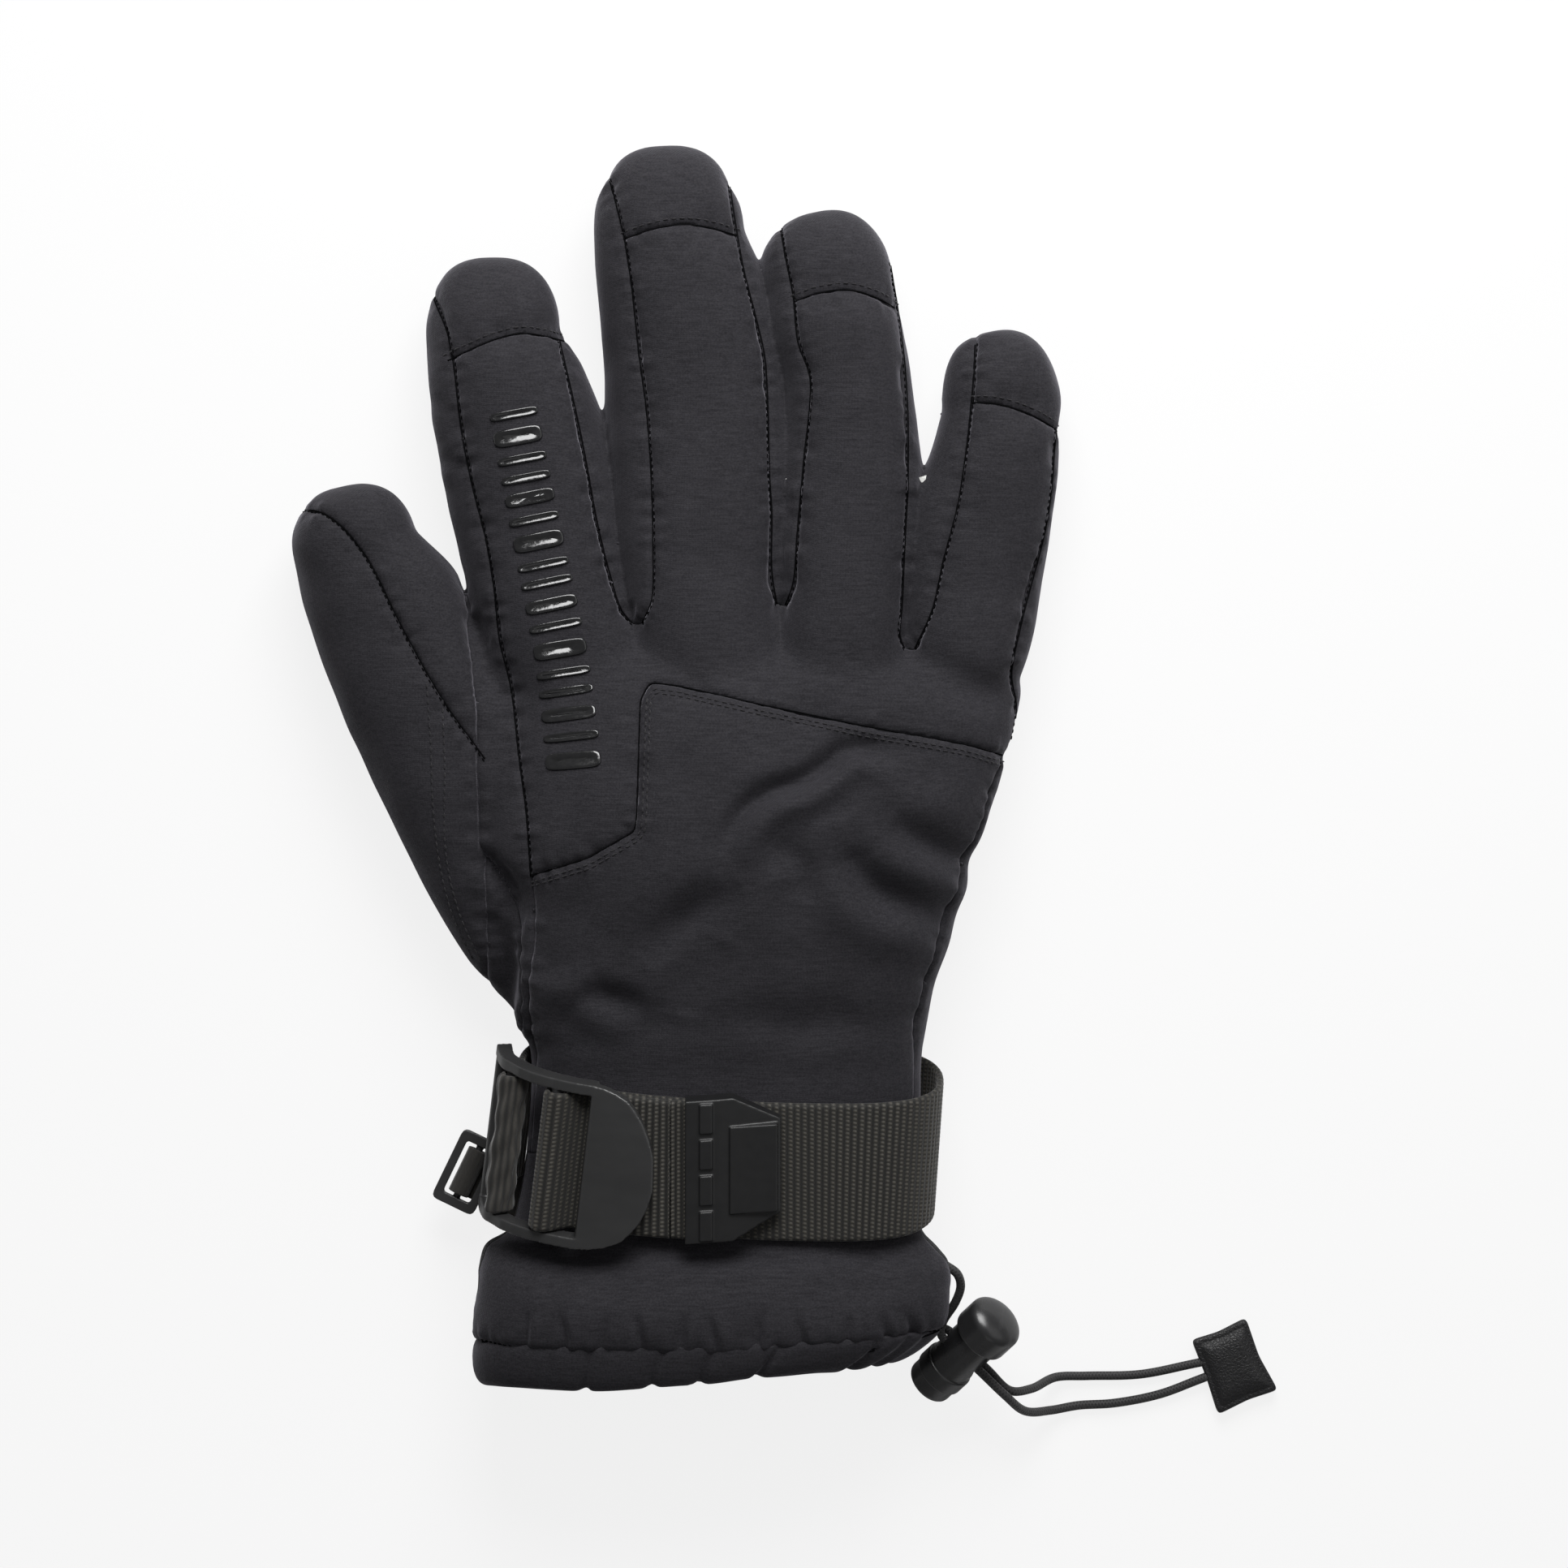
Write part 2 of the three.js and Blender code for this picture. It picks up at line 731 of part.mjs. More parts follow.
const hemStation = stationOf(between(0.56), between(0.56)[4]);
const hemPoint = (degrees, inset) => {
  const p = roundedPoint(
    hemStation.halfWidth - inset,
    hemStation.halfHeight - inset,
    THREE.MathUtils.degToRad(degrees),
  );
  return new THREE.Vector3(
    hemStation.centre.x + hemStation.across.x * p.x,
    hemStation.centre.y + hemStation.across.y * p.x,
    Math.max(hemStation.mid + p.y, SOLE_HEIGHT + inset),
  );
};

function tube(points, diameter, steps, sides) {
  const outline = new THREE.Shape();
  for (let k = 0; k < sides; k++) {
    const angle = (2 * Math.PI * k) / sides;
    const x = (diameter / 2) * Math.cos(angle);
    const y = (diameter / 2) * Math.sin(angle);
    if (k === 0) outline.moveTo(x, y);
    else outline.lineTo(x, y);
  }
  outline.closePath();
  const path = new THREE.CatmullRomCurve3(points, false, "centripetal");
  return new THREE.ExtrudeGeometry(outline, { steps, extrudePath: path, bevelEnabled: false });
}

const hemCordInset = (hemTubeStart + hemTubeEnd) / 2;
const hemCordPoints = [];
for (let i = 0; i <= HEM_CORD_STEPS; i++) {
  const share = i / HEM_CORD_STEPS;
  hemCordPoints.push(
    hemPoint(
      HEM_CORD_FIRST_DEGREES + (HEM_CORD_LAST_DEGREES - HEM_CORD_FIRST_DEGREES) * share,
      hemCordInset,
    ),
  );
}

// Strands: straight through the lock, then down to the table and the pull tab
function strandPoint(distance, side) {
  return lockHole
    .clone()
    .addScaledVector(cordWay, distance)
    .addScaledVector(cordApart, side * CORD_SPACING);
}
const at = (pixel, height) => {
  const place = mm(pixel);
  return new THREE.Vector3(place.x, place.y, height);
};
const STRAIGHT_SHARES = [0, 0.34, 0.67, 1];
const straight = (side) =>
  STRAIGHT_SHARES.map((share) =>
    strandPoint(-CORD_BEFORE_LOCK + (CORD_BEFORE_LOCK + CORD_AFTER_LOCK) * share, side),
  );
const upperStrand = [
  at([1164, 1558], 20.5),
  at([1179, 1569], 20.2),
  at([1184, 1585], 18.6),
  at([1178, 1606], 16.5),
  at([1163, 1632], 14.0),
  ...straight(-1),
  at([1266, 1746], 8.8),
  at([1300, 1749], CORD_ON_TABLE + 1.5),
  at([1334, 1744], CORD_ON_TABLE),
  at([1380, 1741], CORD_ON_TABLE),
  at([1436, 1730], CORD_ON_TABLE),
  at([1486, 1711], CORD_ON_TABLE + 0.5),
];
const hemExit = hemPoint(HEM_EXIT_DEGREES, hemTubeStart);
const hemEntry = strandPoint(-CORD_BEFORE_LOCK, 1);
const lowerStrand = [
  hemExit,
  hemExit.clone().lerp(hemEntry, 0.35),
  hemExit.clone().lerp(hemEntry, 0.7),
  ...straight(1),
  at([1274, 1719], 7.6),
  at([1306, 1708], CORD_ON_TABLE + 1.0),
  at([1345, 1707], CORD_ON_TABLE),
  at([1412, 1705], CORD_ON_TABLE),
  at([1481, 1691], CORD_ON_TABLE + 0.5),
];
addMesh("cord_strand_upper", tube(upperStrand, CORD_DIAMETER, 26, CORD_SIDES), elastic);
addMesh("cord_strand_lower", tube(lowerStrand, CORD_DIAMETER, 24, CORD_SIDES), elastic);

const buttonhole = (from, to) => {
  const run = to.clone().sub(from);
  const geometry = new THREE.CylinderGeometry(
    BUTTONHOLE_RADIUS,
    BUTTONHOLE_RADIUS,
    run.length(),
    BAR_SIDES,
  );
  geometry.applyQuaternion(
    new THREE.Quaternion().setFromUnitVectors(
      new THREE.Vector3(0, 1, 0),
      run.clone().normalize(),
    ),
  );
  const middle = from.clone().add(to).multiplyScalar(0.5);
  geometry.translate(middle.x, middle.y, middle.z);
  return solidOf(geometry);
};
const hemInward = hemExit.clone().sub(hemEntry).normalize();
const hemHole = buttonhole(
  hemEntry,
  hemExit.clone().addScaledVector(hemInward, HEM_CHANNEL_WIDTH / 2),
);
addMesh("hem_tunnel", bodiesOf(hemRing.subtract(channel).subtract(hemHole))[0], fabric);
addMesh("hem_drawcord", tube(hemCordPoints, CORD_DIAMETER, HEM_CORD_STEPS, CORD_SIDES), elastic);

const cuffHole = buttonhole(
  upperStrand[1],
  upperStrand[0].clone().add(upperStrand[0].clone().sub(upperStrand[1])),
);
const cuffCut = cuffShell.subtract(cuffHole);
addMesh(
  "cuff_back_panel",
  bodiesOf(cuffCut.intersect(above(CUFF_SEAM_HEIGHT + SEAM_GAP)))[0],
  fabric,
);
addMesh("cuff_palm_panel", bodiesOf(cuffCut.subtract(above(CUFF_SEAM_HEIGHT)))[0], leather);

// Wrist section that the strap is wound on
const wristStation = stationOf(HAND_PX[7], WRIST_TOP);
function wristPoint(degrees, rise) {
  const angle = THREE.MathUtils.degToRad(degrees);
  const p = roundedPoint(wristStation.halfWidth + rise, wristStation.halfHeight + rise, angle);
  return new THREE.Vector2(wristStation.centre.x + p.x, wristStation.mid + p.y);
}
const strapTopHeight = WRIST_TOP + BUCKLE_RISE;
const strapCentreY = mm([0, STRAP_CENTRE_PX]).y;

// Extrusion of a profile in X and Z over a width along Y, leaning with the strap
function acrossStrap(profile, width, offsetY = 0) {
  const geometry = new THREE.ExtrudeGeometry(new THREE.Shape(profile), {
    depth: width,
    bevelEnabled: false,
  });
  geometry.rotateX(Math.PI / 2);
  geometry.translate(0, width / 2 + offsetY, 0);
  return geometry;
}
function lean(geometry) {
  const matrix = new THREE.Matrix4().set(
    1, 0, 0, 0,
    0, 1, -STRAP_LEAN_SHARE, strapCentreY + STRAP_LEAN_SHARE * strapTopHeight,
    0, 0, 1, 0,
    0, 0, 0, 1,
  );
  return geometry.applyMatrix4(matrix);
}
const leaned = (solid) => lean(geometryOf(solid));

function ribbon(path, wall) {
  const side = (sign) =>
    path.map((point, i) => {
      const before = path[Math.max(i - 1, 0)];
      const after = path[Math.min(i + 1, path.length - 1)];
      const run = after.clone().sub(before).normalize();
      const normal = new THREE.Vector2(-run.y, run.x);
      return point.clone().addScaledVector(normal, (sign * wall) / 2);
    });
  return [...side(1), ...side(-1).reverse()];
}
function arcPath(fromDegrees, toDegrees, rise, stepDegrees = STRAP_STEP_DEGREES) {
  const count = Math.max(2, Math.ceil(Math.abs(toDegrees - fromDegrees) / stepDegrees));
  const path = [];
  for (let i = 0; i <= count; i++) {
    path.push(wristPoint(fromDegrees + ((toDegrees - fromDegrees) * i) / count, rise(i / count)));
  }
  return path;
}

// Ladder-lock buckle
const railRise = (degrees) => {
  const past = Math.max(0, degrees - ANCHOR_BAR_DEGREES) / (GUARD_DEGREES - ANCHOR_BAR_DEGREES);
  return BUCKLE_RISE + BUCKLE_GUARD_RISE * past;
};
const barPlace = (degrees) => wristPoint(degrees, railRise(degrees));
function bar(degrees, radius, width) {
  const place = barPlace(degrees);
  const points = [];
  for (let k = 0; k < BAR_SIDES; k++) {
    const angle = (2 * Math.PI * k) / BAR_SIDES;
    points.push(
      new THREE.Vector2(place.x + radius * Math.cos(angle), place.y + radius * Math.sin(angle)),
    );
  }
  return solidOf(acrossStrap(points, width));
}
const railPath = arcPath(
  GUARD_DEGREES,
  TAB_BAR_DEGREES,
  (share) => railRise(GUARD_DEGREES + (TAB_BAR_DEGREES - GUARD_DEGREES) * share),
);
const railOffset = (BUCKLE_HEIGHT - BUCKLE_RAIL) / 2;
const rails = [railOffset, -railOffset].map((offset) =>
  solidOf(acrossStrap(ribbon(railPath, BUCKLE_WALL), BUCKLE_RAIL, offset)),
);
const tabPath = arcPath(TAB_BAR_DEGREES + 1, TAB_TIP_DEGREES, () => BUCKLE_RISE + TAB_WALL / 4, 3);
const tabBlank = solidOf(acrossStrap(ribbon(tabPath, TAB_WALL), BUCKLE_HEIGHT));
const tabLeft = wristPoint(TAB_BAR_DEGREES + 2, BUCKLE_RISE).x;
const tabRight = wristPoint(TAB_TIP_DEGREES, BUCKLE_RISE).x;
const tabOutline = new THREE.Shape();
tabOutline.moveTo(tabLeft, -BUCKLE_HEIGHT / 2);
tabOutline.bezierCurveTo(
  tabLeft + (tabRight - tabLeft) * TAB_CORNER_SHARE,
  -BUCKLE_HEIGHT / 2,
  tabRight,
  (-BUCKLE_HEIGHT / 2) * TAB_CORNER_SHARE,
  tabRight,
  0,
);
tabOutline.bezierCurveTo(
  tabRight,
  (BUCKLE_HEIGHT / 2) * TAB_CORNER_SHARE,
  tabLeft + (tabRight - tabLeft) * TAB_CORNER_SHARE,
  BUCKLE_HEIGHT / 2,
  tabLeft,
  BUCKLE_HEIGHT / 2,
);
tabOutline.closePath();
const tabPrism = solidOf(
  new THREE.ExtrudeGeometry(tabOutline, { depth: TOP, bevelEnabled: false, curveSegments: 8 }),
);
let buckle = rails[0].add(rails[1]);
for (const degrees of [GUARD_DEGREES, ANCHOR_BAR_DEGREES, TOOTHED_BAR_DEGREES, TAB_BAR_DEGREES]) {
  buckle = buckle.add(bar(degrees, BAR_RADIUS, BUCKLE_HEIGHT - BUCKLE_RAIL));
}
buckle = buckle.add(tabBlank.intersect(tabPrism));
const toothPlace = barPlace(TOOTHED_BAR_DEGREES);
for (let i = 0; i < TOOTH_COUNT; i++) {
  const angle = THREE.MathUtils.degToRad(TOOTHED_BAR_DEGREES - 30 + 30 * i);
  const reach = BAR_RADIUS - TOOTH_DEPTH / 2;
  const geometry = new THREE.BoxGeometry(
    TOOTH_DEPTH,
    BUCKLE_HEIGHT,
    TOOTH_DEPTH,
  );
  geometry.rotateY(-angle);
  geometry.translate(
    toothPlace.x + (reach + TOOTH_DEPTH) * Math.cos(angle),
    0,
    toothPlace.y + (reach + TOOTH_DEPTH) * Math.sin(angle),
  );
  buckle = buckle.subtract(solidOf(geometry));
}
addMesh("buckle_frame", leaned(bodiesOf(buckle)[0]), plastic);

// Webbing loops round the two bars
const loopInner = BAR_RADIUS + BAR_CLEAR;
const loopOuter = loopInner + STRAP_WALL;
const loopOf = (degrees) =>
  bar(degrees, loopOuter, STRAP_WIDTH).subtract(bar(degrees, loopInner, STRAP_WIDTH + OVERRUN));
const lowRise = STRAP_CLEAR + STRAP_WALL / 2;
const highRise = lowRise + STRAP_WALL + LAYER_GAP;
const loopRise = BUCKLE_RISE - (loopInner + loopOuter) / 2;
const anchorRise = (share) => lowRise + (loopRise - lowRise) * share * share;
const anchorLeg = solidOf(
  acrossStrap(
    ribbon(arcPath(ANCHOR_END_DEGREES, ANCHOR_BAR_DEGREES, anchorRise), STRAP_WALL),
    STRAP_WIDTH,
  ),
);
addMesh(
  "anchor_webbing",
  leaned(
    bodiesOf(
      loopOf(ANCHOR_BAR_DEGREES)
        .add(anchorLeg)
        .subtract(bar(ANCHOR_BAR_DEGREES, loopInner, STRAP_WIDTH + OVERRUN)),
    )[0],
  ),
  webbing,
);

// Standing part of the strap: off the glove at the little finger side, then over the wrist
const standing = [];
for (let d = STRAP_TUCK_DEGREES; d < STRAP_RIGHT_DEGREES; d += STRAP_STEP_DEGREES) {
  const share = (d - STRAP_TUCK_DEGREES) / (STRAP_RIGHT_DEGREES - STRAP_TUCK_DEGREES);
  standing.push(wristPoint(d, lowRise + STRAP_STAND_OFF * share));
}
for (let d = STRAP_RIGHT_DEGREES; d < TOOTHED_BAR_DEGREES; d += STRAP_STEP_DEGREES) {
  const fall = Math.min(1, Math.max(0, (75 - d) / 45));
  standing.push(wristPoint(d, lowRise + STRAP_STAND_OFF * fall * fall * (3 - 2 * fall)));
}
const strapStanding = solidOf(acrossStrap(ribbon(standing, STRAP_WALL), STRAP_WIDTH)).subtract(
  bar(TOOTHED_BAR_DEGREES, loopOuter + LAYER_GAP, STRAP_WIDTH + OVERRUN),
);
addMesh("strap_standing", leaned(bodiesOf(strapStanding)[0]), webbing);

// Loop over the toothed bar with the root of the free end
const hingeX = mm([FREE_END_HINGE_PX, 0]).x;
const endTabLeft = mm([END_TAB_LEFT_PX, 0]).x;
const endTabRight = mm([END_TAB_RIGHT_PX, 0]).x;
const layerTop = wristPoint(90, 0).y;
const endTabMid = layerTop + STRAP_CLEAR + STRAP_WALL + LAYER_GAP + END_TAB_WALL / 2;
const rootPath = arcPath(TOOTHED_BAR_DEGREES, TAB_TIP_DEGREES + 2, () => highRise, 5);
rootPath.push(new THREE.Vector2(hingeX - FREE_END_FOLD_GAP / 2, layerTop + highRise));
const tailRoot = solidOf(acrossStrap(ribbon(rootPath, STRAP_WALL), STRAP_WIDTH));
const strapLoop = loopOf(TOOTHED_BAR_DEGREES)
  .add(tailRoot)
  .subtract(bar(TOOTHED_BAR_DEGREES, loopInner, STRAP_WIDTH + OVERRUN));
addMesh("strap_loop", leaned(bodiesOf(strapLoop)[0]), webbing);

const freeEndPath = [
  new THREE.Vector2(hingeX + FREE_END_FOLD_GAP / 2, layerTop + highRise),
  new THREE.Vector2(hingeX + STRAP_WALL, layerTop + highRise),
  new THREE.Vector2(endTabLeft, endTabMid),
  new THREE.Vector2(endTabLeft + END_TAB_POCKET - LAYER_GAP, endTabMid),
];
addMesh(
  "strap_free_end",
  lean(acrossStrap(ribbon(freeEndPath, STRAP_WALL), STRAP_WIDTH)),
  webbing,
);

// Moulded tab on the free end
const endTabLength = endTabRight - endTabLeft;
const tabShape = new THREE.Shape();
tabShape.moveTo(endTabLeft, -END_TAB_WIDTH / 2);
tabShape.lineTo(endTabRight - END_TAB_PANEL_LENGTH, -END_TAB_WIDTH / 2);
tabShape.lineTo(endTabRight, -END_TAB_WIDTH / 2 + END_TAB_CHAMFER);
tabShape.lineTo(endTabRight, END_TAB_WIDTH / 2 - END_TAB_CHAMFER);
tabShape.lineTo(endTabRight - END_TAB_PANEL_LENGTH, END_TAB_WIDTH / 2);
tabShape.lineTo(endTabLeft, END_TAB_WIDTH / 2);
tabShape.closePath();
const tabProfile = [
  new THREE.Vector2(endTabLeft, endTabMid - END_TAB_WALL / 2),
  new THREE.Vector2(endTabRight, endTabMid - END_TAB_WALL / 2),
  new THREE.Vector2(endTabRight, endTabMid - END_TAB_WALL / 2 + END_TAB_NOSE_WALL),
  new THREE.Vector2(
    endTabLeft + END_TAB_POCKET + END_TAB_RIB_WIDTH,
    endTabMid + END_TAB_WALL / 2,
  ),
  new THREE.Vector2(endTabLeft, endTabMid + END_TAB_WALL / 2),
];
const upright = solidOf(
  new THREE.ExtrudeGeometry(tabShape, { depth: TOP, bevelEnabled: false }),
);
let endTab = solidOf(acrossStrap(tabProfile, END_TAB_WIDTH)).intersect(upright);
endTab = endTab.subtract(
  box(
    [END_TAB_POCKET * 2, STRAP_WIDTH + 2 * LAYER_GAP, STRAP_WALL + 2 * LAYER_GAP],
    [endTabLeft, 0, endTabMid],
  ),
);
for (let i = 0; i < END_TAB_RIB_COUNT; i++) {
  const run = END_TAB_WIDTH / END_TAB_RIB_COUNT;
  endTab = endTab.add(
    box(
      [END_TAB_RIB_WIDTH * 2, run - END_TAB_RIB_WIDTH, END_TAB_RIB_RISE * 2],
      [
        endTabLeft + END_TAB_POCKET - END_TAB_RIB_WIDTH,
        run * (i + 0.5) - END_TAB_WIDTH / 2,
        endTabMid + END_TAB_WALL / 2,
      ],
    ),
  );
}
const panelMiddleX = endTabRight - END_TAB_PANEL_LENGTH / 2 - END_TAB_RIB_WIDTH / 2;
endTab = endTab.add(
  box(
    [END_TAB_PANEL_LENGTH, END_TAB_PANEL_WIDTH, END_TAB_NOSE_WALL],
    [panelMiddleX, 0, endTabMid + END_TAB_WALL / 2 - END_TAB_NOSE_WALL / 2 + END_TAB_PANEL_RISE / 2],
  ),
);
addMesh("strap_end_tab", leaned(bodiesOf(endTab)[0]), plastic);

// Small slider and its narrow webbing
const sliderPlace = mm(SLIDER_CENTRE_PX);
const sliderGroup = new THREE.Group();
sliderGroup.position.set(sliderPlace.x, sliderPlace.y, SLIDER_HEIGHT);
sliderGroup.rotation.z = THREE.MathUtils.degToRad(SLIDER_TURN_DEGREES);
glove.add(sliderGroup);
function roundedRectangle(width, height, corner, Kind = THREE.Shape) {
  const w = width / 2;
  const h = height / 2;
  const outline = new Kind();
  outline.moveTo(-w + corner, -h);
  outline.lineTo(w - corner, -h);
  outline.quadraticCurveTo(w, -h, w, -h + corner);
  outline.lineTo(w, h - corner);
  outline.quadraticCurveTo(w, h, w - corner, h);
  outline.lineTo(-w + corner, h);
  outline.quadraticCurveTo(-w, h, -w, h - corner);
  outline.lineTo(-w, -h + corner);
  outline.quadraticCurveTo(-w, -h, -w + corner, -h);
  return outline;
}
const sliderFrame = roundedRectangle(SLIDER_LENGTH, SLIDER_WIDTH, SLIDER_CORNER);
sliderFrame.holes.push(
  roundedRectangle(
    SLIDER_LENGTH - 2 * SLIDER_RAIL,
    SLIDER_WIDTH - 2 * SLIDER_RAIL,
    SLIDER_CORNER / 2,
    THREE.Path,
  ),
);
const sliderBar = new THREE.CylinderGeometry(
  SLIDER_BAR_RADIUS,
  SLIDER_BAR_RADIUS,
  SLIDER_WIDTH - SLIDER_RAIL,
  BAR_SIDES,
);
const sliderSolid = solidOf(
  new THREE.ExtrudeGeometry(sliderFrame, {
    depth: SLIDER_WALL,
    bevelEnabled: false,
    curveSegments: 3,
  }).translate(0, 0, -SLIDER_WALL / 2),
).add(solidOf(sliderBar));
addMesh("side_slider", sliderSolid, plastic, sliderGroup);

const narrowInner = SLIDER_BAR_RADIUS + NARROW_WEB_CLEAR;
const narrowOuter = narrowInner + NARROW_WEB_WALL;
const narrowRound = (radius, width) => {
  return solidOf(new THREE.CylinderGeometry(radius, radius, width, BAR_SIDES));
};
const narrowRun = OVERRUN * 2;
const narrowLeg = box(
  [narrowRun, NARROW_WEB_WIDTH, NARROW_WEB_WALL],
  [narrowRun / 2, 0, -(narrowInner + NARROW_WEB_WALL / 2)],
);
const narrowLocal = narrowRound(narrowOuter, NARROW_WEB_WIDTH)
  .add(narrowLeg)
  .subtract(narrowRound(narrowInner, NARROW_WEB_WIDTH + OVERRUN))
  .subtract(
    box(
      [SLIDER_RAIL + NARROW_WEB_CLEAR * 2, SLIDER_WIDTH * 2, SLIDER_WALL * 0.5],
      [SLIDER_LENGTH / 2 - SLIDER_RAIL / 2, 0, -SLIDER_WALL * 0.25],
    ),
  );
const narrowGeometry = geometryOf(narrowLocal);
narrowGeometry.rotateZ(THREE.MathUtils.degToRad(SLIDER_TURN_DEGREES));
narrowGeometry.translate(sliderPlace.x, sliderPlace.y, SLIDER_HEIGHT);
const narrowFull = solidOf(narrowGeometry).subtract(gloveForm(-LAYER_GAP));
addMesh("side_slider_webbing", bodiesOf(narrowFull)[0], webbing);

// Cord lock: barrel, plunger with domed button, spring
const lockGroup = new THREE.Group();
lockGroup.position.copy(lockFoot);
lockGroup.setRotationFromMatrix(new THREE.Matrix4().makeBasis(cordWay, cordApart, lockAxis));
glove.add(lockGroup);
function turned(profile) {
  const geometry = new THREE.LatheGeometry(
    profile.map(([radius, height]) => new THREE.Vector2(radius, height)),
    LOCK_SIDES,
  );
  geometry.rotateX(Math.PI / 2);
  return solidOf(geometry);
}
const barrelSolid = turned([
  [0, 0],
  [LOCK_RADIUS - LOCK_FOOT_ROUND, 0],
  [LOCK_RADIUS, LOCK_FOOT_ROUND],
  [LOCK_RADIUS, LOCK_COLLAR_LOW],
  [LOCK_COLLAR_RADIUS, LOCK_COLLAR_LOW + LOCK_COLLAR_RADIUS - LOCK_RADIUS],
  [LOCK_COLLAR_RADIUS, LOCK_COLLAR_HIGH],
  [LOCK_RADIUS, LOCK_COLLAR_HIGH + LOCK_COLLAR_RADIUS - LOCK_RADIUS],
  [LOCK_RADIUS, LOCK_LENGTH],
  [LOCK_BORE, LOCK_LENGTH],
  [LOCK_BORE, LOCK_FLOOR],
  [0, LOCK_FLOOR],
]);
const holeTop = CORD_DIAMETER / 2 + CORD_CLEAR;
const barrelHole = box(
  [LOCK_COLLAR_RADIUS * 4, LOCK_HOLE_WIDTH, holeTop + LOCK_HOLE_DROP],
  [0, 0, LOCK_HOLE_HEIGHT + (holeTop - LOCK_HOLE_DROP) / 2],
);
addMesh("cord_lock_barrel", barrelSolid.subtract(barrelHole), plastic, lockGroup);

const slotLow = LOCK_HOLE_HEIGHT - holeTop;
const slotHigh = LOCK_HOLE_HEIGHT + holeTop + PLUNGER_TRAVEL;
const plungerLow = slotLow - PLUNGER_FOOT;
const buttonUnder = LOCK_LENGTH + PLUNGER_TRAVEL + LAYER_GAP;
const buttonTop = buttonUnder + BUTTON_TOP_WALL;
const crownRise = (degrees) => Math.sin(THREE.MathUtils.degToRad(degrees)) * BUTTON_CROWN;
const crownReach = (degrees) => Math.cos(THREE.MathUtils.degToRad(degrees)) * BUTTON_RADIUS;
const plungerSolid = turned([
  [0, plungerLow],
  [PLUNGER_RADIUS, plungerLow],
  [PLUNGER_RADIUS, buttonUnder],
  [BUTTON_SKIRT_INNER, buttonUnder],
  [BUTTON_SKIRT_INNER, buttonUnder - PLUNGER_TRAVEL - BUTTON_SKIRT_DEPTH],
  [BUTTON_RADIUS, buttonUnder - PLUNGER_TRAVEL - BUTTON_SKIRT_DEPTH],
  [BUTTON_RADIUS, buttonTop],
  [crownReach(25), buttonTop + crownRise(25)],
  [crownReach(50), buttonTop + crownRise(50)],
  [crownReach(72), buttonTop + crownRise(72)],
  [0, buttonTop + BUTTON_CROWN],
]);
const plungerSlot = box(
  [PLUNGER_RADIUS * 4, LOCK_HOLE_WIDTH, slotHigh - slotLow],
  [0, 0, (slotHigh + slotLow) / 2],
);
addMesh("cord_lock_plunger", plungerSolid.subtract(plungerSlot), plastic, lockGroup);

const springLow = LOCK_FLOOR + SPRING_SEAT_GAP + SPRING_WIRE / 2;
const springHigh = plungerLow - SPRING_SEAT_GAP - SPRING_WIRE / 2;
class Helix extends THREE.Curve {
  getPoint(share, target = new THREE.Vector3()) {
    const angle = 2 * Math.PI * SPRING_CURLS * share;
    return target.set(
      SPRING_RADIUS * Math.cos(angle),
      SPRING_RADIUS * Math.sin(angle),
      springLow + (springHigh - springLow) * share,
    );
  }
}
const helix = new Helix();
const springCount = SPRING_CURLS * SPRING_STEPS;
const helixPoints = [];
for (let i = 0; i <= springCount; i++) helixPoints.push(helix.getPoint(i / springCount));
const firstRun = helixPoints[0].clone().sub(helixPoints[1]).normalize();
const lastRun = helixPoints[springCount].clone().sub(helixPoints[springCount - 1]).normalize();
const springRings = [];
const springPath = [
  helixPoints[0].clone().addScaledVector(firstRun.setZ(0).normalize(), SPRING_WIRE),
  ...helixPoints,
  helixPoints[springCount].clone().addScaledVector(lastRun.setZ(0).normalize(), SPRING_WIRE),
];
springPath.forEach((point, i) => {
  const before = springPath[Math.max(i - 1, 0)];
  const after = springPath[Math.min(i + 1, springPath.length - 1)];
  const run = after.clone().sub(before).normalize();
  const out = new THREE.Vector3(point.x, point.y, 0).normalize();
  const up = new THREE.Vector3().crossVectors(run, out).normalize();
  const side = new THREE.Vector3().crossVectors(up, run).normalize();
  const ring = [];
  for (let k = 0; k < SPRING_SIDES; k++) {
    const angle = (2 * Math.PI * k) / SPRING_SIDES;
    ring.push(
      point
        .clone()
        .addScaledVector(side, (SPRING_WIRE / 2) * Math.cos(angle))
        .addScaledVector(up, (SPRING_WIRE / 2) * Math.sin(angle)),
    );
  }
  springRings.push(ring);
});
addMesh("cord_lock_spring", loft(springRings), steel, lockGroup);
let springGap = Infinity;
helixPoints.forEach((a, i) => {
  helixPoints.slice(i + SPRING_STEPS - 1).forEach((b) => {
    springGap = Math.min(springGap, a.distanceTo(b) - SPRING_WIRE);
  });
});
console.log("least gap of the spring to itself: " + springGap.toFixed(2) + " mm");

// Pull tab in two welded halves round the cord ends
const pullTab = (low, name) => {
  const points = grown(seamPoints(PULL_TAB_PX), -PULL_TAB_BEVEL);
  const geometry = new THREE.ExtrudeGeometry(new THREE.Shape(points), {
    depth: PULL_TAB_HALF_WALL - PULL_TAB_BEVEL,
    bevelEnabled: true,
    bevelThickness: PULL_TAB_BEVEL / 2,
    bevelSize: PULL_TAB_BEVEL,
    bevelSegments: 1,
  });
  geometry.translate(0, 0, low + PULL_TAB_BEVEL / 2);
  addMesh(name, solidOf(geometry), leather);
};
pullTab(0, "pull_tab_back");
pullTab(PULL_TAB_HALF_WALL + PULL_TAB_GAP, "pull_tab_front");

export default glove;
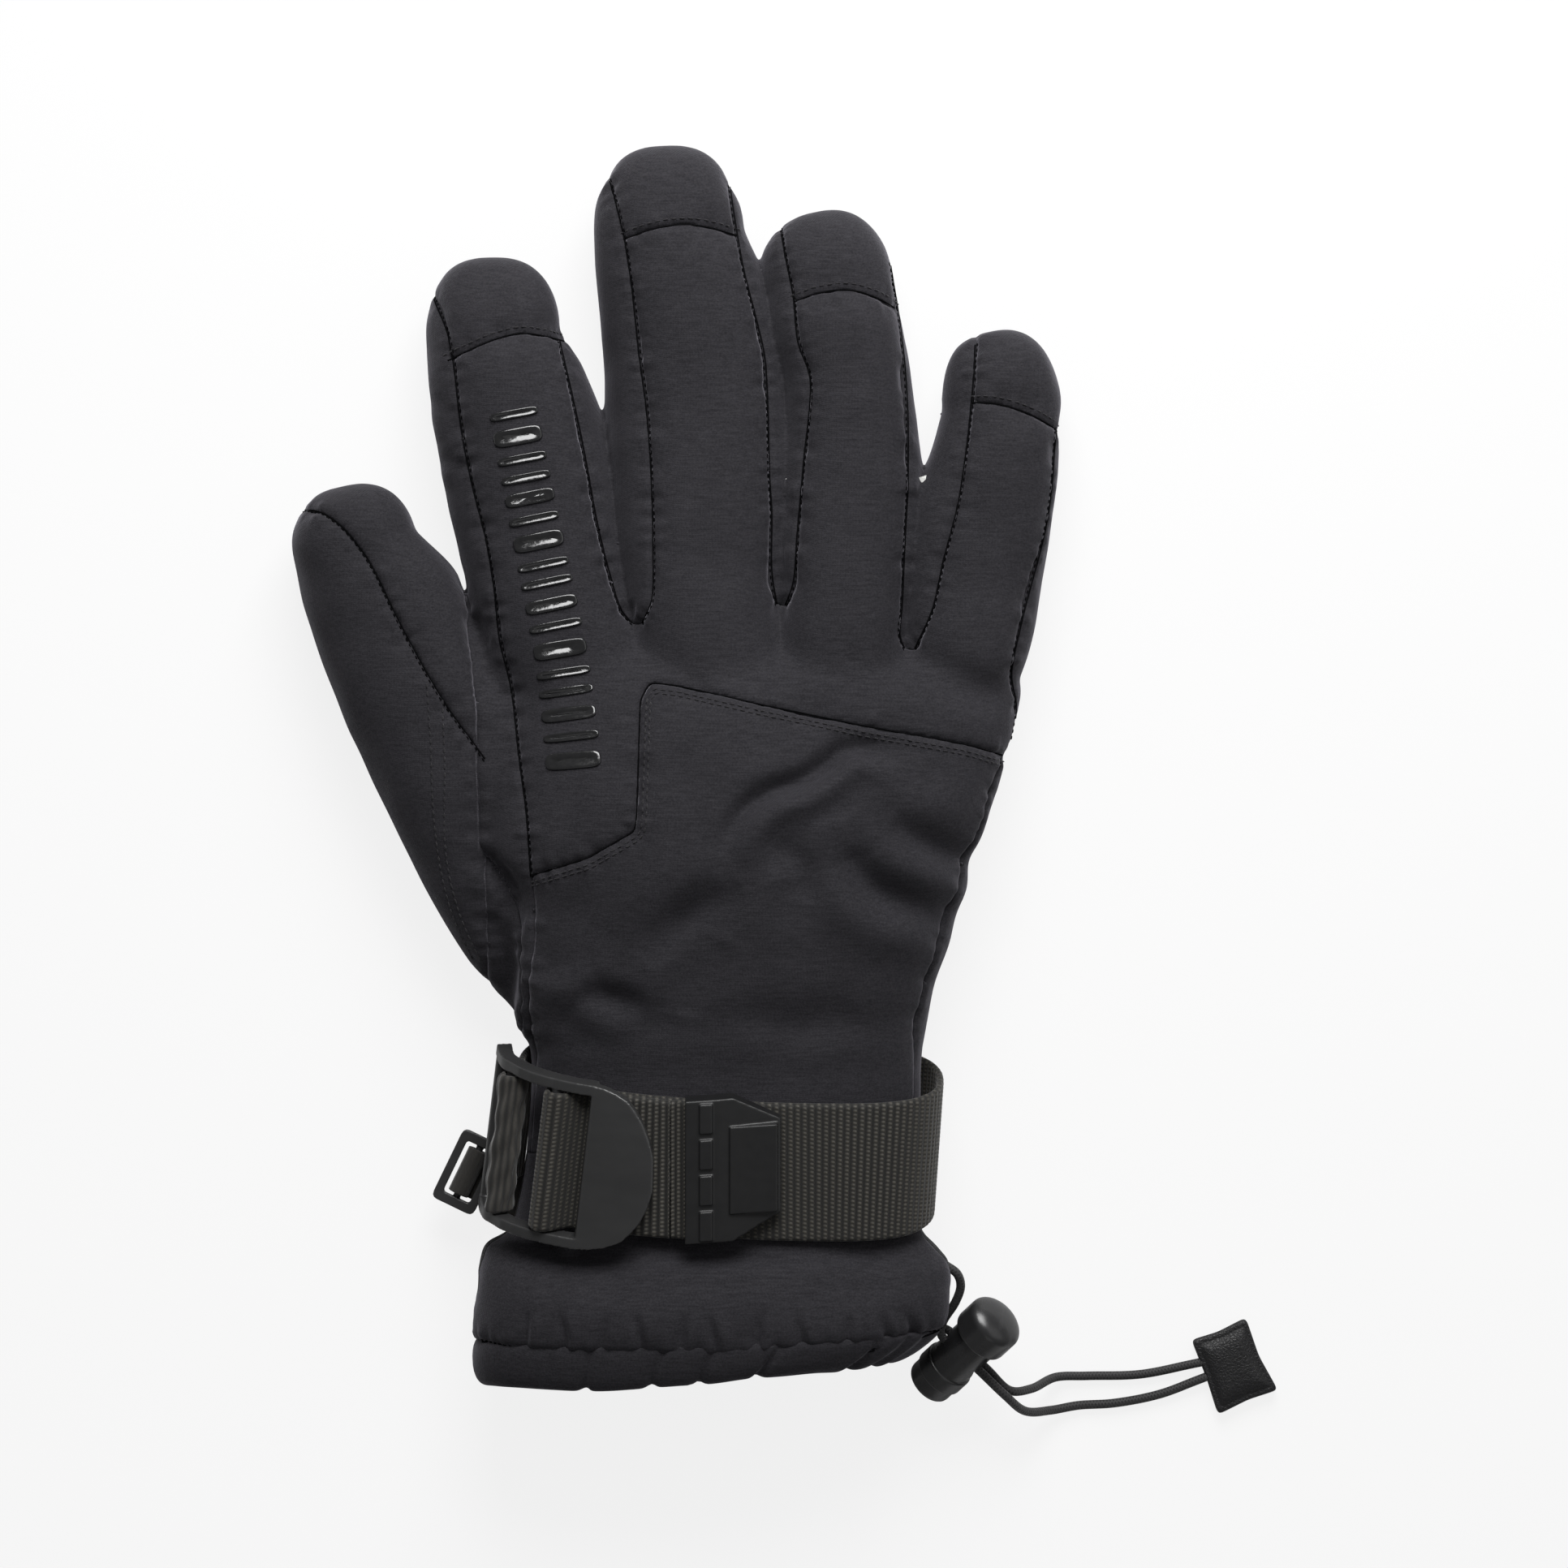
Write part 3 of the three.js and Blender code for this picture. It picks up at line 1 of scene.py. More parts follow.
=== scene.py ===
"""Right-hand ski glove with wrist strap, ladder-lock buckle and cuff drawcord.

Lengths in the tables and in the making are millimetres; meshes are in metres.
"""

import math

import bmesh
import bpy
import numpy as np
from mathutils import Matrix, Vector, noise
from mathutils.bvhtree import BVHTree
from mathutils.kdtree import KDTree


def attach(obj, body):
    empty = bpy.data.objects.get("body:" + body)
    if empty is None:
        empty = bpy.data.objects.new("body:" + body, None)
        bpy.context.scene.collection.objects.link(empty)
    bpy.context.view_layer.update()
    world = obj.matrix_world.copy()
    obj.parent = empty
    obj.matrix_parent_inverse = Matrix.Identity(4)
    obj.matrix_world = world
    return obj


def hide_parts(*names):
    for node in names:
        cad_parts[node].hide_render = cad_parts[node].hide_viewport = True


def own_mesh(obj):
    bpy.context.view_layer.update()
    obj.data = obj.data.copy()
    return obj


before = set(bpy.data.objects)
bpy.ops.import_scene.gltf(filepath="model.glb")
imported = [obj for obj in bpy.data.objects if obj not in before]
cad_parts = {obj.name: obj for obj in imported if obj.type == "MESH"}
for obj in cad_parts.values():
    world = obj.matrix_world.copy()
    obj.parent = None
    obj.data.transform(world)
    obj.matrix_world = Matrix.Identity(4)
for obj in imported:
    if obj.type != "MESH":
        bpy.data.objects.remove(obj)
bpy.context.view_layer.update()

MM = 0.001
PIXEL = 0.18
ORIGIN_PX = np.array([835.13, 941.05])
SOLE_HEIGHT = 1.3
SOLE_SINK = 2.5
ROUND_SHARE = 0.8
SHELL_WALL = 0.8
SHELL_INSET, SHELL_VOXEL = 0.35, 0.66
PUFF, PUFF_REACH = 0.55, 4.2
GROOVE, GROOVE_REACH = 0.75, 0.75
PUCKER, PUCKER_PLACE, PUCKER_REACH = 0.8, 1.3, 1.9
UP = np.array([0.0, 0.0, 1.0])


def flat(points):
    """Traced pixels as millimetres."""
    return (np.asarray(points, float) - ORIGIN_PX) * [PIXEL, -PIXEL]


def at(point, height):
    return np.array([*flat(point), height])


# Camera over the glove


def aim_camera():
    camera = bpy.data.cameras.new("studio_camera")
    camera.sensor_width, camera.lens = 36.0, 120.0
    camera.clip_start, camera.clip_end = 0.05, 20.0
    across, middle_height = 1932 * PIXEL * MM, 20 * MM
    distance = across / 2 / (camera.sensor_width / 2 / camera.lens)
    holder = bpy.data.objects.new("studio_camera", camera)
    holder.location = (*(flat([966, 966]) * MM), middle_height + distance)
    bpy.context.scene.collection.objects.link(holder)
    bpy.context.scene.camera = holder


aim_camera()


# Mesh helpers


def mesh_from(name, points, groups, uv=None):
    """Mesh from points in millimetres and arrays of faces, each with one corner count."""
    groups = [np.asarray(g, np.int32) for g in groups if len(g)]
    corners = np.concatenate([g.ravel() for g in groups])
    sizes = np.concatenate([np.full(len(g), g.shape[1]) for g in groups])
    mesh = bpy.data.meshes.new(name)
    mesh.vertices.add(len(points))
    mesh.vertices.foreach_set("co", (np.asarray(points) * MM).astype(np.float32).ravel())
    mesh.loops.add(len(corners))
    mesh.loops.foreach_set("vertex_index", corners)
    mesh.polygons.add(len(sizes))
    mesh.polygons.foreach_set("loop_start", np.r_[0, np.cumsum(sizes)[:-1]].astype(np.int32))
    mesh.polygons.foreach_set("use_smooth", np.ones(len(sizes), bool))
    mesh.update(calc_edges=True)
    if uv is not None:
        layer = mesh.uv_layers.new(name="cloth")
        layer.data.foreach_set("uv", np.asarray(uv, np.float32).ravel())
    return mesh


def new_piece(name, mesh):
    made = bpy.data.objects.new(name, mesh)
    bpy.context.scene.collection.objects.link(made)
    return made


def baked(made):
    """The piece with its modifiers applied."""
    graph = bpy.context.evaluated_depsgraph_get()
    mesh = bpy.data.meshes.new_from_object(made.evaluated_get(graph))
    made.modifiers.clear()
    made.data = mesh
    return made


def arrays_of(made):
    """Points in millimetres and quads of a piece, modifiers applied."""
    graph = bpy.context.evaluated_depsgraph_get()
    mesh = made.evaluated_get(graph).to_mesh()
    points = np.zeros(len(mesh.vertices) * 3, np.float32)
    mesh.vertices.foreach_get("co", points)
    corners = np.zeros(len(mesh.loops), np.int32)
    mesh.loops.foreach_get("vertex_index", corners)
    return points.reshape(-1, 3).astype(float) / MM, corners.reshape(-1, 4)


def drop(made):
    bpy.data.objects.remove(made)


def merged(made, distance, outward=False):
    """The piece with vertices that lie within a distance joined, and faces turned outward."""
    tidy = bmesh.new()
    tidy.from_mesh(made.data)
    bmesh.ops.remove_doubles(tidy, verts=tidy.verts, dist=distance * MM)
    if outward:
        bmesh.ops.recalc_face_normals(tidy, faces=tidy.faces)
    tidy.to_mesh(made.data)
    tidy.free()
    return made


def remeshed(made, voxel):
    """Points and even quads of a piece's voxel remesh. The piece itself is dropped."""
    remesh = made.modifiers.new("even", "REMESH")
    remesh.mode, remesh.voxel_size = "VOXEL", voxel * MM
    points, quads = arrays_of(made)
    drop(made)
    return points, quads


def skin(rings, along=None, around=None, caps=True):
    """Closed skin over rings of equal count: points, face groups and a UV map."""
    rings = np.asarray(rings, float)
    n, m = rings.shape[:2]
    i, j = (k.ravel() for k in np.meshgrid(np.arange(n - 1), np.arange(m), indexing="ij"))
    k = (j + 1) % m
    quads = np.stack([i * m + j, i * m + k, (i + 1) * m + k, (i + 1) * m + j], -1)
    points = rings.reshape(-1, 3)
    along = np.arange(n) if along is None else np.asarray(along)
    around = np.arange(m + 1) if around is None else np.asarray(around)
    spots = [(along[i], around[j]), (along[i], around[j + 1])]
    spots += [(along[i + 1], around[j + 1]), (along[i + 1], around[j])]
    uv = np.stack([np.stack(s, -1) for s in spots], 1).reshape(-1, 2)
    groups = [quads]
    if caps:
        points = np.vstack([points, rings[0].mean(0), rings[-1].mean(0)])
        r = np.arange(m)
        s = (r + 1) % m
        first = np.stack([np.full(m, n * m), s, r], -1)
        last = np.stack([np.full(m, n * m + 1), (n - 1) * m + r, (n - 1) * m + s], -1)
        groups.append(np.vstack([first, last]))
        uv = np.vstack([uv, np.zeros((6 * m, 2))])
    a, b, c = (points[quads[:, q]] for q in (0, 1, 2))
    d = points[quads[:, 3]]
    volume = np.einsum("ij,ij->", a, np.cross(b, c)) + np.einsum("ij,ij->", a, np.cross(c, d))
    if volume < 0:
        uv = np.concatenate([
            uv[: 4 * len(quads)].reshape(-1, 4, 2)[:, ::-1].reshape(-1, 2),
            uv[4 * len(quads):],
        ])
        groups = [g[:, ::-1] for g in groups]
    return points, groups, uv


def skin_piece(name, rings, along=None, around=None, caps=True):
    points, groups, uv = skin(rings, along, around, caps)
    return new_piece(name, mesh_from(name, points, groups, uv * MM))


def joined_skins(name, forms):
    """One piece of several closed forms, each given as its rings."""
    points, groups, base = [], {3: [], 4: []}, 0
    for rings in forms:
        form_points, form_groups, _ = skin(rings)
        points.append(form_points)
        for group in form_groups:
            groups[group.shape[1]].append(group + base)
        base += len(form_points)
    faces = [np.vstack(g) for g in groups.values()]
    return new_piece(name, mesh_from(name, np.vstack(points), faces))


def lengths(path):
    return np.r_[0, np.cumsum(np.linalg.norm(np.diff(path, axis=0), axis=1))]


def steady(knots, values, spots):
    """Monotone cubic through the rows of a table, without overshoot."""
    values = np.asarray(values, float)
    step = np.diff(knots)[:, None]
    slope = np.diff(values, axis=0) / step
    tangent = np.zeros_like(values)
    before, after = 2 * step[1:] + step[:-1], step[1:] + 2 * step[:-1]
    with np.errstate(divide="ignore", invalid="ignore"):
        mean = (before + after) / (before / slope[:-1] + after / slope[1:])
    tangent[1:-1] = np.where(slope[:-1] * slope[1:] > 0, mean, 0)
    tangent[0], tangent[-1] = slope[0], slope[-1]
    k = np.clip(np.searchsorted(knots, spots, "right") - 1, 0, len(knots) - 2)
    h = step[k]
    t = ((spots - knots[k]) / h[:, 0])[:, None]
    return (
        values[k] * (2 * t**3 - 3 * t**2 + 1)
        + tangent[k] * h * (t**3 - 2 * t**2 + t)
        + values[k + 1] * (3 * t**2 - 2 * t**3)
        + tangent[k + 1] * h * (t**3 - t**2)
    )


def resampled(path, step):
    path = np.asarray(path, float)
    run = lengths(path)
    count = max(2, int(round(run[-1] / step)) + 1)
    spots = np.linspace(0, run[-1], count)
    return np.stack([np.interp(spots, run, path[:, c]) for c in range(path.shape[1])], -1)


def catmull(points, count):
    """Centripetal Catmull-Rom line through points, with even steps."""
    points = np.asarray(points, float)
    ends = [2 * points[0] - points[1], *points, 2 * points[-1] - points[-2]]
    line = []
    for p0, p1, p2, p3 in zip(ends, ends[1:], ends[2:], ends[3:]):
        knots = np.cumsum([0] + [np.linalg.norm(b - a) ** 0.5 for a, b in
                                 ((p0, p1), (p1, p2), (p2, p3))])
        t0, t1, t2, t3 = knots
        for t in np.linspace(t1, t2, 24, endpoint=False):
            a1 = (t1 - t) / (t1 - t0) * p0 + (t - t0) / (t1 - t0) * p1
            a2 = (t2 - t) / (t2 - t1) * p1 + (t - t1) / (t2 - t1) * p2
            a3 = (t3 - t) / (t3 - t2) * p2 + (t - t2) / (t3 - t2) * p3
            b1 = (t2 - t) / (t2 - t0) * a1 + (t - t0) / (t2 - t0) * a2
            b2 = (t3 - t) / (t3 - t1) * a2 + (t - t1) / (t3 - t1) * a3
            line.append((t2 - t) / (t2 - t1) * b1 + (t - t1) / (t2 - t1) * b2)
    line = np.array([*line, points[-1]])
    return resampled(line, lengths(line)[-1] / (count - 1))


def turns(count):
    """Even angles round a circle."""
    return np.linspace(0, 2 * np.pi, count, endpoint=False)


def tube_rings(path, radius, sides):
    """Rings round a path, turned as little as possible from one to the next."""
    path = np.asarray(path, float)
    run = unit(np.gradient(path, axis=0))
    side = unit(np.cross(run[0], UP if abs(run[0][2]) < 0.9 else [1.0, 0, 0]))
    radius = np.broadcast_to(radius, len(path))
    angle = turns(sides)
    rings = []
    for point, way, r in zip(path, run, radius):
        side = unit(side - way * side.dot(way))
        other = np.cross(way, side)
        rings.append(point + r * (np.cos(angle)[:, None] * side + np.sin(angle)[:, None] * other))
    return np.array(rings)


def tube_piece(name, path, radius, sides=12):
    rings = tube_rings(path, radius, sides)
    around = np.linspace(0, 2 * np.pi * np.max(radius), sides + 1)
    return skin_piece(name, rings, lengths(np.asarray(path, float)), around)


def bump_of(distance, width):
    return np.exp(-((distance / width) ** 2))


def ease(low, high, value):
    t = np.clip((value - low) / (high - low), 0, 1)
    return t * t * (3 - 2 * t)


def unit(vectors):
    return vectors / np.linalg.norm(vectors, axis=-1, keepdims=True)


def relaxed(path, times):
    """A path smoothed some times over, with its ends held."""
    for _ in range(times):
        path[1:-1] = (path[:-2] + 2 * path[1:-1] + path[2:]) / 4
    return path


def squared(value, power=ROUND_SHARE):
    """A sine or cosine pushed towards its ends, for rounded boxes instead of ellipses."""
    return np.sign(value) * np.abs(value) ** power


# Shader values and finishes


def add_node(tree, kind, settings=None, sockets=None):
    """A node with its settings, and its inputs linked or set."""
    node = tree.nodes.new(kind)
    for key, value in (settings or {}).items():
        setattr(node, key, value)
    for key, value in (sockets or {}).items():
        source = value.socket if isinstance(value, Value) else value
        if isinstance(source, bpy.types.NodeSocket):
            tree.links.new(source, node.inputs[key])
        elif source is not None:
            node.inputs[key].default_value = source
    return node


def math_node(operation, swapped=False):
    """An operator of values that adds a Math node."""
    def operate(self, other):
        pair = (other, self) if swapped else (self, other)
        return self.finish.maths(operation, *pair)

    return operate


class Value:
    """A value in a material. Sums and products of values add Math nodes."""

    def __init__(self, finish, socket):
        self.finish, self.socket = finish, socket

    __add__ = __radd__ = math_node("ADD")
    __mul__ = __rmul__ = math_node("MULTIPLY")
    __sub__, __rsub__ = math_node("SUBTRACT"), math_node("SUBTRACT", swapped=True)
    __truediv__, __pow__ = math_node("DIVIDE"), math_node("POWER")


# Cords and webbing: millimetres
CORD_DIAMETER = 2.0
RIB_PITCH, KNOT_PITCH, SOFT_RIB_PITCH = 1.55, 0.9, 1.25


class Finish:
    """A surface finish: a principled shader with constants, and nodes that vary it."""

    def __init__(self, name, **constants):
        self.material = bpy.data.materials.new(name)
        self.material.use_nodes = True
        self.tree = self.material.node_tree
        self.shader = self.tree.nodes["Principled BSDF"]
        for key, value in constants.items():
            self.shader.inputs[key.replace("_", " ")].default_value = value

    def node(self, kind, settings=None, sockets=None):
        return add_node(self.tree, kind, settings, sockets)

    def value(self, kind, settings=None, sockets=None, out=0):
        return Value(self, self.node(kind, settings, sockets).outputs[out])

    def maths(self, operation, *values, clamp=False):
        settings = {"operation": operation, "use_clamp": clamp}
        return self.value("ShaderNodeMath", settings, dict(enumerate(values)))

    def place(self, scale=(1, 1, 1), source="Object"):
        """Coordinates in millimetres, stretched by a scale."""
        spot = self.value("ShaderNodeTexCoord", out=source)
        size = tuple(s / MM for s in scale)
        return self.value("ShaderNodeVectorMath", {"operation": "MULTIPLY"}, {0: spot, 1: size})

    def grain(self, spot, scale, detail=2.0, rough=0.5):
        sockets = {"Vector": spot, "Scale": scale, "Detail": detail, "Roughness": rough}
        return self.value("ShaderNodeTexNoise", None, sockets)

    def ramp(self, value, first, last):
        """A ramp between two stops of place and shade."""
        node = self.node("ShaderNodeValToRGB", None, {"Fac": value})
        for element, (place, shade) in zip(node.color_ramp.elements, (first, last)):
            element.position, element.color = place, (shade, shade, shade, 1)
        return Value(self, node.outputs[0])

    def tint(self, factor, first, second):
        colours = {0: factor, 6: (*first, 1), 7: (*second, 1)}
        return self.value("ShaderNodeMix", {"data_type": "RGBA"}, colours, out=2)

    def bump(self, height, distance, strength=1.0, under=None):
        sockets = {"Height": height, "Distance": distance * MM, "Strength": strength,
                   "Normal": under}
        return self.value("ShaderNodeBump", None, sockets)

    def split(self, vector):
        node = self.node("ShaderNodeSeparateXYZ", None, {0: vector})
        return [Value(self, node.outputs[k]) for k in range(3)]

    def wave(self, value, pitch):
        return self.maths("SINE", value * (2 * math.pi / pitch)) * 0.5 + 0.5

    def finish(self, **links):
        for key, value in links.items():
            self.tree.links.new(value.socket, self.shader.inputs[key.replace("_", " ")])
        return self.material


def softshell():
    """Dark woven softshell: fine heather, sideways slubs and a soft sheen."""
    f = Finish("softshell_fabric", Roughness=0.85, Sheen_Weight=0.3, Sheen_Roughness=0.4)
    f.shader.inputs["Sheen Tint"].default_value = (0.60, 0.58, 0.66, 1)
    f.shader.inputs["Specular IOR Level"].default_value = 0.28
    spot = f.place()
    x, y, z = f.split(spot)
    heather = f.grain(spot, 2.4, 3.0, 0.62)
    slub = f.grain(f.place((0.22, 1.9, 1.2)), 1.0, 2.0, 0.55)
    broad = f.grain(spot, 0.028, 2.0, 0.5)
    across = f.wave(x + z * 0.7, 0.62)
    down = f.wave(y + z * 0.7, 0.46)
    weave = across * down
    speck = f.ramp(heather * 0.62 + slub * 0.38, (0.36, 0.0), (0.66, 1.0))
    shade = f.maths("MULTIPLY_ADD", broad, 0.35, speck * 0.75, clamp=True)
    colour = f.tint(shade, (0.0095, 0.0089, 0.0112), (0.0315, 0.0300, 0.0352))
    rough = 0.93 - speck * 0.12
    low = f.bump(heather * 0.7 + slub * 0.5, 0.16, 0.55)
    normal = f.bump(weave, 0.07, 0.5, low)
    return f.finish(Base_Color=colour, Roughness=rough, Normal=normal)


def palm_hide():
    """Grained synthetic leather with fine pores and worn, shinier high spots."""
    f = Finish("palm_leather", Specular_IOR_Level=0.4)
    spot = f.place()
    cells = f.value("ShaderNodeTexVoronoi", {"feature": "DISTANCE_TO_EDGE"},
                    {"Vector": spot, "Scale": 0.85})
    pores = f.grain(spot, 3.1, 2.0, 0.6)
    broad = f.grain(spot, 0.05, 2.0, 0.5)
    pebble = f.ramp(cells, (0.02, 0.0), (0.22, 1.0))
    shade = f.maths("MULTIPLY", pebble * 0.6 + broad * 0.5, 1.0, clamp=True)
    colour = f.tint(shade, (0.0085, 0.0085, 0.0095), (0.026, 0.0255, 0.028))
    rough = 0.68 - pebble * 0.14 + pores * 0.1
    normal = f.bump(pores, 0.05, 0.4, f.bump(pebble, 0.14, 0.6))
    return f.finish(Base_Color=colour, Roughness=rough, Normal=normal)


def brushed_knit():
    f = Finish("lining_knit", Roughness=0.95, Sheen_Weight=0.6, Sheen_Roughness=0.6)
    spot = f.place()
    x, y, z = f.split(spot)
    pile = f.grain(spot, 1.7, 3.0, 0.65)
    loops = f.wave(x + z, 1.3) * f.wave(y, 1.0)
    colour = f.tint(pile, (0.008, 0.008, 0.010), (0.034, 0.034, 0.038))
    return f.finish(Base_Color=colour, Normal=f.bump(pile + loops * 0.6, 0.3, 0.6))


def fibre_fill():
    f = Finish("fibre_wadding", Roughness=1.0, Sheen_Weight=0.4)
    spot = f.place()
    fibre = f.grain(f.place((0.5, 2.0, 1.0)), 1.2, 4.0, 0.7)
    lump = f.grain(spot, 0.16, 2.0, 0.5)
    colour = f.tint(fibre, (0.55, 0.55, 0.53), (0.78, 0.78, 0.75))
    return f.finish(Base_Color=colour, Normal=f.bump(fibre + lump, 0.5, 0.6))


def ribbed_webbing():
    """Polyester webbing: paler threads on the ribs, dark between them."""
    f = Finish("strap_webbing", Roughness=0.72, Sheen_Weight=0.25, Sheen_Roughness=0.4)
    along, across, _ = f.split(f.place(source="UV"))
    spot = f.place()
    rib = f.wave(along, RIB_PITCH)
    step = f.wave(across + f.maths("FLOOR", along / RIB_PITCH) * (KNOT_PITCH / 2), KNOT_PITCH)
    thread = f.grain(f.place((1.0, 0.35, 1.0)), 3.0, 2.0, 0.6)
    pale = f.maths("MULTIPLY", rib ** 1.4 * (step * 0.75 + 0.2), thread + 0.55, clamp=True)
    broad = f.grain(spot, 0.08, 2.0, 0.5)
    colour = f.tint(pale * (broad * 0.5 + 0.72), (0.0055, 0.0050, 0.0042),
                    (0.071, 0.065, 0.053))
    normal = f.bump(rib * step + thread * 0.3, 0.16, 0.5)
    return f.finish(Base_Color=colour, Roughness=0.8 - pale * 0.2, Normal=normal)


def soft_webbing():
    """Softer elastic webbing in the buckle, ribbed lengthwise in folds."""
    f = Finish("anchor_webbing", Roughness=0.85, Sheen_Weight=0.3)
    along, _, _ = f.split(f.place(source="UV"))
    rib = f.wave(along, SOFT_RIB_PITCH)
    grain = f.grain(f.place((1, 0.3, 1)), 2.6, 3.0, 0.6)
    shade = f.maths("MULTIPLY", rib, grain + 0.35, clamp=True)
    colour = f.tint(shade, (0.0065, 0.0060, 0.0052), (0.046, 0.042, 0.036))
    return f.finish(Base_Color=colour, Normal=f.bump(rib + grain, 0.16, 0.6))


def moulded(name, dark, pale, rough, gloss):
    """Moulded plastic: faint flow marks, spark texture and paler convex edges, a painted highlight.
    """
    f = Finish(name, Specular_IOR_Level=gloss)
    spot = f.place()
    spark = f.grain(spot, 5.2, 2.0, 0.6)
    flow = f.grain(f.place((0.06, 0.16, 0.1)), 1.0, 3.0, 0.55)
    smear = f.grain(spot, 0.35, 4.0, 0.6)
    # Convex edges are painted paler: a painted highlight along every edge.
    edge = f.value("ShaderNodeNewGeometry", out="Pointiness")
    edge_highlight = f.ramp(edge, (0.50, 0.0), (0.58, 1.0))
    tone = f.maths("MULTIPLY_ADD", flow, 0.6, edge_highlight * 0.45, clamp=True)
    colour = f.tint(tone, dark, pale)
    wear = f.maths("MULTIPLY_ADD", smear, 0.16, spark * 0.08 + (rough - 0.12))
    normal = f.bump(spark, 0.02, 0.35, f.bump(flow, 0.12, 0.12))
    return f.finish(Base_Color=colour, Roughness=wear, Normal=normal)


def braided_sheath():
    """Elastic cord: crossing yarns round the cord."""
    f = Finish("elastic_cord", Roughness=0.62, Sheen_Weight=0.2)
    along, around, _ = f.split(f.place(source="UV"))
    turn = 2 * math.pi * CORD_DIAMETER / 2
    one = f.wave(along + around * (3.0 / turn), 0.75)
    other = f.wave(along - around * (3.0 / turn), 0.75)
    yarn = f.maths("MAXIMUM", one, other)
    colour = f.tint(yarn, (0.006, 0.006, 0.007), (0.036, 0.035, 0.036))
    return f.finish(Base_Color=colour, Normal=f.bump(yarn, 0.12, 0.7))


def pressed_hide():
    f = Finish("tab_leather", Specular_IOR_Level=0.5)
    spot = f.place()
    grain = f.grain(spot, 1.5, 4.0, 0.6)
    cells = f.value("ShaderNodeTexVoronoi", {"feature": "DISTANCE_TO_EDGE"},
                    {"Vector": spot, "Scale": 1.3})
    pebble = f.ramp(cells, (0.02, 0.0), (0.2, 1.0))
    colour = f.tint(grain, (0.005, 0.005, 0.0056), (0.016, 0.0156, 0.0168))
    rough = 0.5 - pebble * 0.12 + grain * 0.12
    return f.finish(Base_Color=colour, Roughness=rough, Normal=f.bump(pebble + grain, 0.12, 0.5))


def thread(name, dark, pale, sheen=0.2):
    f = Finish(name, Roughness=0.8, Sheen_Weight=sheen, Specular_IOR_Level=sheen)
    ply = f.grain(f.place(), 5.0, 2.0, 0.6)
    colour = f.tint(ply, dark, pale)
    return f.finish(Base_Color=colour, Normal=f.bump(ply, 0.06, 0.5))


def raised_gel():
    """Glossy raised print with soft ripples."""
    f = Finish("raised_print", Specular_IOR_Level=0.6, Coat_Weight=0.6, Coat_Roughness=0.08)
    ripple = f.grain(f.place(), 0.8, 2.0, 0.5)
    colour = f.tint(ripple, (0.006, 0.006, 0.007), (0.014, 0.014, 0.0145))
    rough = ripple * 0.12 + 0.12
    return f.finish(Base_Color=colour, Roughness=rough, Normal=f.bump(ripple, 0.2, 0.4))


def spring_wire():
    f = Finish("spring_steel", Metallic=1.0)
    drawn = f.grain(f.place(), 4.0, 3.0, 0.6)
    colour = f.tint(drawn, (0.42, 0.43, 0.44), (0.62, 0.63, 0.64))
    return f.finish(Base_Color=colour, Roughness=drawn * 0.2 + 0.22)


FABRIC = softshell()
HIDE = palm_hide()
KNIT = brushed_knit()
FILL = fibre_fill()
WEBBING = ribbed_webbing()
SOFT_WEBBING = soft_webbing()
ACETAL = moulded("buckle_plastic", (0.020, 0.020, 0.0205), (0.050, 0.050, 0.0505), 0.34, 0.6)
TIP_PLASTIC = moulded("strap_tip_plastic", (0.0055, 0.0055, 0.006),
                      (0.015, 0.015, 0.0155), 0.42, 0.5)
NYLON = moulded("lock_plastic", (0.014, 0.014, 0.015), (0.034, 0.034, 0.035), 0.3, 0.7)
SHEATH = braided_sheath()
TAB_HIDE = pressed_hide()
# Near-black: the thread of the edge stitches, and the painted groove shade of the seam tubes.
DARK_THREAD_AND_SEAM_SHADE = thread("dark_thread_and_seam_shade", (0.0025, 0.0025, 0.003), (0.0075, 0.0075, 0.008), 0.0)
TOP_THREAD = thread("top_thread", (0.011, 0.0105, 0.012), (0.036, 0.034, 0.038))
GEL = raised_gel()
STEEL = spring_wire()


def settle(made, body, material=None, replaced=()):
    """Gives a piece its material, its body and the solids it stands for."""
    if material is not None:
        made.data.materials.clear()
        made.data.materials.append(material)
    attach(made, body)
    if replaced:
        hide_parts(*replaced)
    return made


# Cord lock frame, shared by the cords

LOCK_FOOT = np.array([55.90, -139.08, 5.92])
LOCK_AXIS = np.array([0.5839765, 0.6110965, 0.5343523])
CORD_WAY = np.array([0.7229671, -0.6908824, 0.0])
CORD_APART = np.cross(LOCK_AXIS, CORD_WAY)
LOCK_HOLE = LOCK_FOOT + LOCK_AXIS * 13.2
CORD_SPACING = 1.25
LOCK_ENTRY, LOCK_RUN = -6.4, 19.9
TAB_OVERLAP = 1.8


def in_lock(points):
    """Points of the lock's own frame, +Z from its foot to its button, in the row frame."""
    return LOCK_FOOT + np.asarray(points, float) @ np.array([CORD_WAY, CORD_APART, LOCK_AXIS])


def strand_point(distance, side):
    return LOCK_HOLE + CORD_WAY * distance + CORD_APART * side * CORD_SPACING


def straight(side):
    return [strand_point(LOCK_ENTRY + LOCK_RUN * share, side) for share in (0, 0.34, 0.67, 1)]


